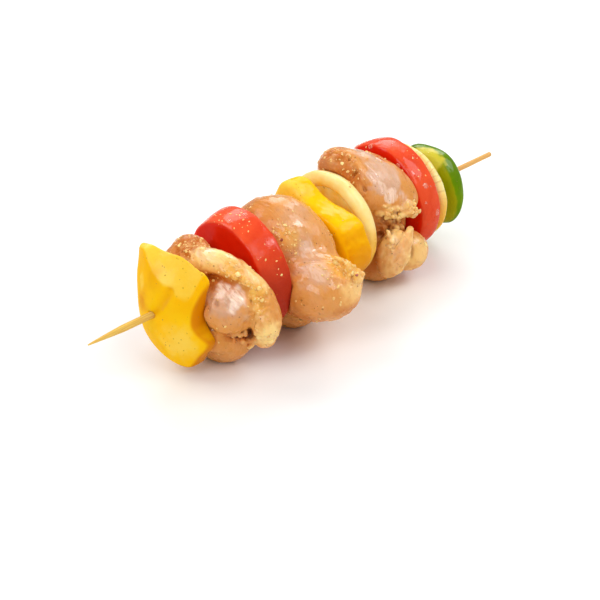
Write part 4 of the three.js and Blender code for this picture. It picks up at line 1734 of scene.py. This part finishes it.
def make_back_chunk(neighbours: tuple[Field, ...]) -> ChickenChunk:
    """The chunk with a smooth upper muscle and a ragged leaf below it."""
    return ChickenChunk(
        "chicken_back", "chicken", (114, 149), ((113, -28, -26), (150, 24, 28.5)), 1.4, neighbours,
        lobes=rows(
            Lobe,
            ((129.6, 0.8, -0.8), (16.5, 11.2, 12)),
            ((126.8, -1.6, 13.6), (11, 20, 9.3), (32, 0, 38)),
            ((122.4, 7.2, 14.8), (7.2, 11.6, 10), (25, 0, 0)),
            ((130.4, 1.6, -3.2), (12.8, 15.2, 18.4)),
            ((123.6, -17.4, -8.6), (3.2, 7.4, 9.8), (15, 15, 0)),
            ((132.6, -17.4, -10.8), (7.4, 7.6, 7.6)),
            ((126.4, -4.8, -16), (8.8, 11.2, 9.6)),
            ((130.4, 10.4, -4.8), (10.4, 9.6, 15.2)),
            ((134.4, 2.5, 11.5), (5.4, 15, 9)),
        )
        + rows(
            Strap,
            (
                ((127, -22.4, 2.1), (124.7, -23.4, -0.7), (123.2, -23.5, -4.2), (122.2, -23.3, -8.9)),
                (1.2, 1.9, 1.9, 1.4),
            ),
            (
                ((123, -17, -2), (121.8, -14.9, -5.2), (120.8, -14.4, -10.5), (120.2, -16.2, -14.4)),
                (1.6, 1.6, 1.6, 1.2),
            ),
        ),
        wrinkles=rows(
            Wrinkle,
            (9, 0.4, 81),
            ((3.8, 11, 11), 0.18, 82, CREASED),
            ((2.2, 3, 3), 0.1, 83),
            ((6, 14, 8), 0.7, 80, RIDGED, (0, 20, 0), (130, 15, -2), (18, 14, 24)),
            ((5, 2.4, 5), 0.9, 84, RIDGED, LEVEL, (117.5, 3, 19), (4.5, 12, 10)),
            ((2.4, 2.8, 5), 0.5, 85, RIDGED, (25, 0, 0), (123.5, -19, -6), (6, 8, 13)),
            (2.6, 0.8, 86, RIDGED, LEVEL, (128, -11, -1), (7, 5, 5)),
        )
        + rows(
            Seam,
            (((119.8, 3.9, 25.2), (119.2, 0.6, 23.2), (118.3, -2.4, 20.6), (119, -7.3, 15.5)), -0.8, 0.8),
            (((119, -7.3, 15.5), (122, -10.5, 9.1)), -0.5, 0.8),
            (((130, -14.5, 4), (132.5, -19, 4.6), (133.5, -21.8, 5.6)), 0.9, 0.7),
            (((123.5, -21.5, 0), (121.8, -19.5, -5), (120.8, -18.5, -12)), -0.7, 0.7),
            (((121, -17.6, -3), (120.2, -16.4, -8), (120, -16.6, -13)), -0.5, 0.6),
        ),
        fringes=rows(
            Fringe,
            (
                ((122.3, -9.6, 6.9), (125, -13, 4.4), (128, -16, 4.5), (131, -19, 6), (135, -19, 6.5)),
                46, 0.45, (0.3, 0.8), 4, (1.0, 1.5),
            ),
            (((124, -11, 8), (127, -14.5, 7), (131, -17.5, 8), (134, -17.5, 8.4)), 40, 1.0, (0.4, 1), 9),
            (((122.5, -15, 3), (121, -20, -6), (122, -19, -15)), 26, 0.6, (0.35, 0.8), 5),
            (((125, -12, 1), (129, -13, -1), (131, -14, 1)), 16, 1.0, (0.5, 1.1), 6),
            (((130, -14.5, 4), (132.5, -19, 4.6), (133.8, -22.3, 5.6)), 14, 0.15, (0.6, 0.8), 7),
        ),
        patches={
            Tone.PINK: rows(Patch, ((127, -6, 18), (7, 16, 10), 1.0, (0.7, 1.1))),
            # painted highlights, among them the star on the upper muscle
            Tone.PALE: rows(
                Patch,
                ((127, -6, 18), (7, 14, 8), 0.2, (0.8, 1.1)),
                ((126.2, -13.6, 12.4), (3.6, 3, 3.6), 0.8, (0.8, 1.0)),
                ((124.2, -9.5, 15.6), (2, 4.6, 2.6), 0.7, (0.8, 1.0)),
                ((121.5, -21, -4), (4, 5, 9), 0.3),
                ((130, -12, 9), (4, 6, 6), 0.4),
            ),
            Tone.CREAM: rows(
                Patch,
                ((129, -15, 5), (10, 6, 2.5)),
                ((124, -19, -6), (6, 8, 13)),
                ((131, -24, -9), (6, 6, 8), 0.7),
            ),
            Tone.GOLDEN: rows(Patch, ((123, -21, -8), (4, 4, 5), 0.5)),
            # marinade stain on the browned left end, and painted shade in the crevice and low on the left
            Tone.STAIN: rows(
                Patch,
                ((117, 4, 18), (4.6, 13, 9)),
                ((127, -10, -1), (8, 5, 4), 0.9),
                ((119.5, -9, -12), (4, 8, 8), 0.7),
            ),
            Tone.SPICE: rows(Patch, ((118, 4, 19), (5, 11, 9), 0.6), ((130, -15, 6), (9, 5, 4))),
        },
    )


def make_food() -> tuple[Piece, ...]:
    """Every piece of food, with its sizes in the stick's millimetres."""
    peppers, onions = make_peppers(), make_onions()
    walls = {piece.node: piece.wall for piece in peppers}
    onion = {piece.node: piece.shape for piece in onions}["onion_middle_outer"]
    chunks = (
        make_front_chunk((walls["yellow_pepper_front"], walls["red_pepper_front"])),
        make_middle_chunk((walls["red_pepper_front"], walls["yellow_pepper_middle"])),
        make_back_chunk((onion, walls["red_pepper_back"])),
    )
    return (*peppers, *onions, *chunks)


# ------------------------------------------------------------------ scattered things


def run_tree(name: str, group: bpy.types.NodeTree, host: bpy.types.Object, values: dict[str, object]):
    """Runs a Geometry Nodes tree on a host and keeps the result as a plain mesh object.

    Args:
        name: the new object's name.
        group: the tree.
        host: the object that it runs on, which isn't changed.
        values: the tree's inputs, by their names.

    Returns:
        The new object.
    """
    modifier = host.modifiers.new(name, "NODES")
    modifier.node_group = group
    for socket in group.interface.items_tree:
        if socket.in_out == "INPUT" and socket.name in values:
            modifier[socket.identifier] = values[socket.name]
    host.update_tag()
    graph = bpy.context.evaluated_depsgraph_get()
    mesh = bpy.data.meshes.new_from_object(host.evaluated_get(graph), depsgraph=graph)
    host.modifiers.remove(modifier)
    mesh.name = name
    return link(name, mesh)


def strewing_tree(mark: str) -> bpy.types.NodeTree:
    """The tree that strews small things as densely as a mark on the surface is strong."""
    inputs = {"Geometry": GEOMETRY, "Sides": COUNT, "Seed": COUNT, "Material": MATERIAL}
    inputs |= numbers("Density", "Spacing", "Smallest", "Largest", "Flatness", "Length", "Raggedness")
    outputs = {"Geometry": GEOMETRY}
    tree, given, out = open_group(f"strewn_by_{mark}", "GeometryNodeTree", inputs, outputs)
    strength = tree.add("GeometryNodeInputNamedAttribute", {"Name": mark}, data_type="FLOAT")
    spread = {
        "Mesh": given["Geometry"],
        "Distance Min": given["Spacing"],
        "Density Max": given["Density"],
        "Density Factor": strength.outputs[0],
        "Seed": given["Seed"],
    }
    spots = tree.add("GeometryNodeDistributePointsOnFaces", spread, distribute_method="POISSON").outputs
    ball = tree.add("GeometryNodeMeshIcoSphere", {"Radius": 1.0, "Subdivisions": given["Sides"]})
    draw = tree.add("FunctionNodeRandomValue", {2: 0.0, 3: 1.0, 8: given["Seed"]}, data_type="FLOAT")
    few_large = tree.math("POWER", draw.outputs[1], 2.0)
    span = tree.minus(given["Largest"], given["Smallest"])
    radius = tree.plus(given["Smallest"], tree.times(few_large, span))
    size = {0: tree.times(radius, given["Length"]), 1: radius, 2: tree.times(radius, given["Flatness"])}
    turn = tree.add("FunctionNodeRandomValue", {2: -3.1, 3: 3.1, 8: 7}, data_type="FLOAT")
    about = tree.add("FunctionNodeAxisAngleToRotation", {0: (0.0, 0.0, 1.0), 1: turn.outputs[1]})
    lie = {0: spots["Rotation"], 1: about.outputs[0]}
    copies = {
        "Points": spots["Points"],
        "Instance": ball.outputs["Mesh"],
        "Rotation": tree.add("FunctionNodeRotateRotation", lie, rotation_space="LOCAL").outputs[0],
        "Scale": tree.add("ShaderNodeCombineXYZ", size).outputs[0],
    }
    strewn = tree.add("GeometryNodeInstanceOnPoints", copies).outputs[0]
    real = tree.add("GeometryNodeRealizeInstances", {0: strewn}).outputs[0]
    where = tree.add("GeometryNodeInputPosition").outputs[0]
    push = tree.scaled(tree.drift(where, 1100.0), given["Raggedness"])
    moved = tree.add("GeometryNodeSetPosition", {"Geometry": real, "Offset": push}).outputs[0]
    tree.set(out["Geometry"], tree.dressed(moved, given["Material"]))
    return tree.tree


@dataclass(frozen=True)
class Strewn:
    """One kind of thing that is strewn over the food, with its sizes in metres.

    It lies on the pieces whose names hold the word host, and is as dense, for each square
    metre, as its mark there is strong.
    """

    name: str
    host: str
    slot: str
    mark: str
    finish: SpiceFinish | DropFinish
    density: float
    spacing: float
    smallest: float
    largest: float
    flatness: float
    length: float
    raggedness: float
    seed: int
    sides: int = 2
    SIZES = ("smallest", "largest", "flatness", "length", "raggedness")

    def build(self, tree: bpy.types.NodeTree, host: bpy.types.Object, groups: Groups) -> None:
        """Strews the things over a host."""
        material = self.finish.material(groups)
        names = ("density", "spacing", *self.SIZES, "seed", "sides")
        values = {name.capitalize(): getattr(self, name) for name in names}
        piece = run_tree(self.name, tree, host, {**values, "Material": material})
        settle_piece(piece, material, self.slot)


BROWN = SpiceFinish("ground_pepper", srgb(186, 118, 48), srgb(122, 70, 24))
STREWN = (
    Strewn(
        "golden_grains", "chicken", "chicken", "spice",
        SpiceFinish("mustard_and_garlic", srgb(255, 220, 142), srgb(232, 168, 84)),
        density=600000.0, spacing=0.0006, smallest=0.00014, largest=0.0005,
        flatness=0.7, length=1.3, raggedness=0.0006, seed=3,
    ),
    Strewn(
        "garlic_bits", "chicken", "chicken", "spice",
        SpiceFinish("chopped_garlic", srgb(255, 228, 152), srgb(250, 204, 112)),
        density=16000.0, spacing=0.003, smallest=0.0004, largest=0.0009,
        flatness=0.6, length=1.4, raggedness=0.0009, seed=10,
    ),
    Strewn(
        "pepper_flecks", "chicken", "chicken", "fleck", BROWN,
        density=24000.0, spacing=0.0015, smallest=0.0001, largest=0.00028,
        flatness=0.5, length=1.3, raggedness=0.0002, seed=4, sides=1,
    ),
    Strewn(
        "chilli_flakes", "chicken", "chicken", "spice",
        SpiceFinish("chilli_flakes", srgb(176, 66, 20), srgb(130, 40, 12)),
        density=3000.0, spacing=0.006, smallest=0.0003, largest=0.0007,
        flatness=0.35, length=1.3, raggedness=0.0003, seed=5,
    ),
    Strewn(
        "herb_bits", "chicken", "chicken", "fleck",
        SpiceFinish("dried_herbs", srgb(120, 116, 40), srgb(84, 84, 24)),
        density=900.0, spacing=0.008, smallest=0.0003, largest=0.0006,
        flatness=0.3, length=1.5, raggedness=0.0003, seed=6,
    ),
    Strewn(
        "pepper_dust", "pepper", "yellow_pepper", "fleck", BROWN,
        density=50000.0, spacing=0.0014, smallest=0.00006, largest=0.00018,
        flatness=0.5, length=1.3, raggedness=0.0002, seed=7, sides=1,
    ),
    Strewn(
        "pale_seeds", "pepper", "red_pepper", "seeds",
        SpiceFinish("pale_seeds", srgb(255, 226, 150), srgb(246, 180, 90)),
        density=400000.0, spacing=0.0011, smallest=0.0001, largest=0.00034,
        flatness=0.6, length=1.6, raggedness=0.0004, seed=9,
    ),
    Strewn(
        "juice_drops", "pepper", "red_pepper", "drops", DropFinish(),
        density=30000.0, spacing=0.002, smallest=0.0003, largest=0.0013,
        flatness=0.4, length=1.2, raggedness=0.0, seed=8, sides=3,
    ),
)


def host_of(name: str, pieces: Sequence[bpy.types.Object]) -> bpy.types.Object:
    """Joins copies of some pieces, with their marks, into one surface to strew things on."""
    copies = [link(name, piece.data.copy()) for piece in pieces]
    with bpy.context.temp_override(active_object=copies[0], selected_editable_objects=copies):
        bpy.ops.object.join()
    return copies[0]


def strew_marinade(food: dict[str, bpy.types.Object], groups: Groups) -> None:
    """Strews every kind of thing over the food, given by its nodes' names."""
    hosts = {
        word: host_of(f"{word}_host", [piece for node, piece in food.items() if word in node])
        for word in ("chicken", "pepper")
    }
    trees = {mark: strewing_tree(mark) for mark in ("spice", "fleck", "drops", "seeds")}
    for kind in STREWN:
        kind.build(trees[kind.mark], hosts[kind.host], groups)
    for host in hosts.values():
        bpy.data.objects.remove(host)


# ------------------------------------------------------------------ the stick


@dataclass(frozen=True)
class BambooStick:
    """A round bamboo stick with a long point, in metres."""

    length: float
    radius: float
    taper: float = 0.014
    tip_radius: float = 0.00022
    thinning: float = 0.22
    uneven: float = 0.00016
    sides: int = 40
    steps: int = 700
    POINT_CURVE = 0.85
    BROKEN_EDGE = 0.0003

    @classmethod
    def packed(cls) -> BambooStick:
        """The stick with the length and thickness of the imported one."""
        low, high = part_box("bamboo_stick")
        return cls(high[0] - low[0], (high[2] - low[2]) / 2)

    def tree(self) -> bpy.types.NodeTree:
        """The Geometry Nodes tree that draws a rod out to a point."""
        inputs = {"Geometry": GEOMETRY, "Start": VECTOR, "Sides": COUNT, "Steps": COUNT, "Material": MATERIAL}
        inputs |= numbers("Length", "Radius", "Taper", "Tip radius", "Thinning", "Uneven")
        outputs = {"Geometry": GEOMETRY}
        tree, given, out = open_group("bamboo_rod", "GeometryNodeTree", inputs, outputs)
        reach = tree.add("ShaderNodeCombineXYZ", {0: given["Length"]}).outputs[0]
        line = tree.add("GeometryNodeCurvePrimitiveLine", {"Start": (0.0, 0.0, 0.0), "End": reach})
        fine = tree.add("GeometryNodeResampleCurve", {"Curve": line.outputs[0], "Count": given["Steps"]})
        along = tree.add("GeometryNodeSplineParameter").outputs["Length"]
        share = tree.math("DIVIDE", along, given["Taper"], clamp=True)
        drawn = tree.math("POWER", share, self.POINT_CURVE)
        spare = tree.minus(given["Radius"], given["Tip radius"])
        radius = tree.plus(given["Tip radius"], tree.times(drawn, spare))
        to_end = tree.minus(given["Length"], along)
        broken = tree.times(tree.math("DIVIDE", to_end, self.BROKEN_EDGE, clamp=True), self.BROKEN_EDGE)
        radius = tree.minus(radius, tree.minus(self.BROKEN_EDGE, broken))
        thinned = tree.times(tree.math("DIVIDE", along, given["Length"]), given["Thinning"])
        radius = tree.times(radius, tree.minus(1.0, thinned))
        ring = tree.add("GeometryNodeCurvePrimitiveCircle", {"Resolution": given["Sides"], "Radius": 1.0})
        swept = {"Curve": fine.outputs[0], "Profile Curve": ring.outputs[0]}
        swept |= {"Scale": radius, "Fill Caps": True}
        rod = tree.add("GeometryNodeCurveToMesh", swept).outputs[0]
        where = tree.add("GeometryNodeInputPosition").outputs[0]
        ridges = tree.noise(tree.vector("MULTIPLY", where, (60.0, 900.0, 900.0)), 1.0)
        lift = tree.times(tree.minus(ridges, 0.5), given["Uneven"])
        outward = tree.vector("NORMALIZE", tree.vector("MULTIPLY", where, (0.0, 1.0, 1.0)))
        offset = tree.scaled(outward, lift)
        ridged = tree.add("GeometryNodeSetPosition", {"Geometry": rod, "Offset": offset})
        placed = {"Geometry": ridged.outputs[0], "Translation": given["Start"]}
        placed = tree.add("GeometryNodeTransform", placed).outputs[0]
        tree.set(out["Geometry"], tree.dressed(placed, given["Material"]))
        return tree.tree

    def build(self, groups: Groups) -> None:
        """Makes the stick and lets it stand for the plain one."""
        material = BambooFinish().material(groups)
        host = link("rod_host", bpy.data.meshes.new("rod_host"))
        names = ("length", "radius", "taper", "tip_radius", "thinning", "uneven", "sides", "steps")
        values = {name.replace("_", " ").capitalize(): getattr(self, name) for name in names}
        values |= {"Start": STICK_FRAME.point, "Material": material}
        stick = run_tree("split_bamboo_stick", self.tree(), host, values)
        bpy.data.objects.remove(host)
        settle_piece(stick, material, "bamboo", "bamboo_stick")


# ------------------------------------------------------------------ studio


@dataclass(frozen=True)
class Softbox:
    """A large soft lamp that points at the kebab."""

    name: str
    azimuth: float
    elevation: float
    width: float
    height: float
    power: float
    DISTANCE = 0.9

    def build(self, target: Array) -> None:
        """Hangs the lamp and points it at the target."""
        lamp = bpy.data.lights.new(self.name, "AREA")
        lamp.shape, lamp.size, lamp.size_y = "RECTANGLE", self.width, self.height
        lamp.energy = self.power
        a, e = math.radians(self.azimuth), math.radians(self.elevation)
        away = np.array([math.cos(a) * math.cos(e), math.sin(a) * math.cos(e), math.sin(e)])
        side = np.cross((0, 0, 1), away)
        side = side / np.linalg.norm(side)
        turn = Matrix(np.stack([side, np.cross(away, side), away], axis=1).tolist())
        made = link(self.name, lamp)
        made.matrix_world = Matrix.Translation(target + away * self.DISTANCE) @ turn.to_4x4()


@dataclass(frozen=True)
class Studio:
    """The camera, the pale table and the soft lamps."""

    stand: Vec = (-201.316, -307.382, 242.59)
    target: Vec = (100.0, 0.0, 0.0)
    heading: float = 46.192
    downward: float = 32.0
    lens: float = 81.944
    sensor: float = 36.0
    floor_size: float = 6.0
    sky: float = 0.3
    lamps: tuple[Softbox, ...] = rows(
        Softbox,
        ("behind", 46, 38, 0.8, 0.5, 4.0),
        ("right_back", 324, 50, 0.5, 0.5, 2.4),
        ("right_front", 268, 56, 0.45, 0.45, 1.6),
        ("left_front", 192, 42, 0.55, 0.5, 2.6),
        ("left_back", 115, 50, 0.5, 0.5, 2.0),
        ("sparkle", 300, 52, 0.14, 0.14, 0.6),
    )

    def camera(self) -> None:
        """Sets up the camera from its stand in the stick's millimetres."""
        data = bpy.data.cameras.new("camera")
        data.lens, data.sensor_width = self.lens, self.sensor
        data.clip_start, data.clip_end = 0.01, 50.0
        h, e = math.radians(self.heading), math.radians(self.downward)
        right = (math.sin(h), -math.cos(h), 0)
        up = (math.cos(h) * math.sin(e), math.sin(h) * math.sin(e), math.cos(e))
        back = (-math.cos(h) * math.cos(e), -math.sin(h) * math.cos(e), math.sin(e))
        turn = Matrix(np.stack([right, up, back], axis=1).tolist())
        made = link("camera", data)
        made.matrix_world = Matrix.Translation(STICK_FRAME.place(np.array(self.stand))) @ turn.to_4x4()
        bpy.context.scene.camera = made

    def floor(self, groups: Groups) -> None:
        """Lays the table top at the height that the kebab rests on."""
        half = self.floor_size / 2
        corners = [(-half, -half, 0), (half, -half, 0), (half, half, 0), (-half, half, 0)]
        mesh = bpy.data.meshes.new("table")
        mesh.from_pydata(corners, [], [(0, 1, 2, 3)])
        mesh.materials.append(FloorFinish().material(groups))
        made = link("table", mesh)

    def light(self) -> None:
        """Lights the scene with a pale sky and the lamps."""
        world = bpy.data.worlds.new("pale_room")
        world.use_nodes = True
        sky = world.node_tree.nodes["Background"]
        sky.inputs["Color"].default_value = (1.0, 1.0, 1.0, 1.0)
        sky.inputs["Strength"].default_value = self.sky
        bpy.context.scene.world = world
        for lamp in self.lamps:
            lamp.build(STICK_FRAME.place(np.array(self.target)))

    def build(self, groups: Groups) -> None:
        """Sets up everything round the kebab."""
        self.camera()
        self.floor(groups)
        self.light()
        bpy.context.scene.view_settings.view_transform = "Standard"


def main() -> None:
    """Builds the kebab and its studio, in order."""
    logging.basicConfig(level=logging.INFO, format="%(name)s: %(message)s")
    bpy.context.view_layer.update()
    groups = Groups()
    Studio().build(groups)
    BambooStick.packed().build(groups)
    finishes = make_finishes(groups)
    food = {piece.node: piece.build(finishes[piece.slot]) for piece in make_food()}
    strew_marinade(food, groups)
    bpy.context.view_layer.update()


if __name__ == "__main__":
    main()
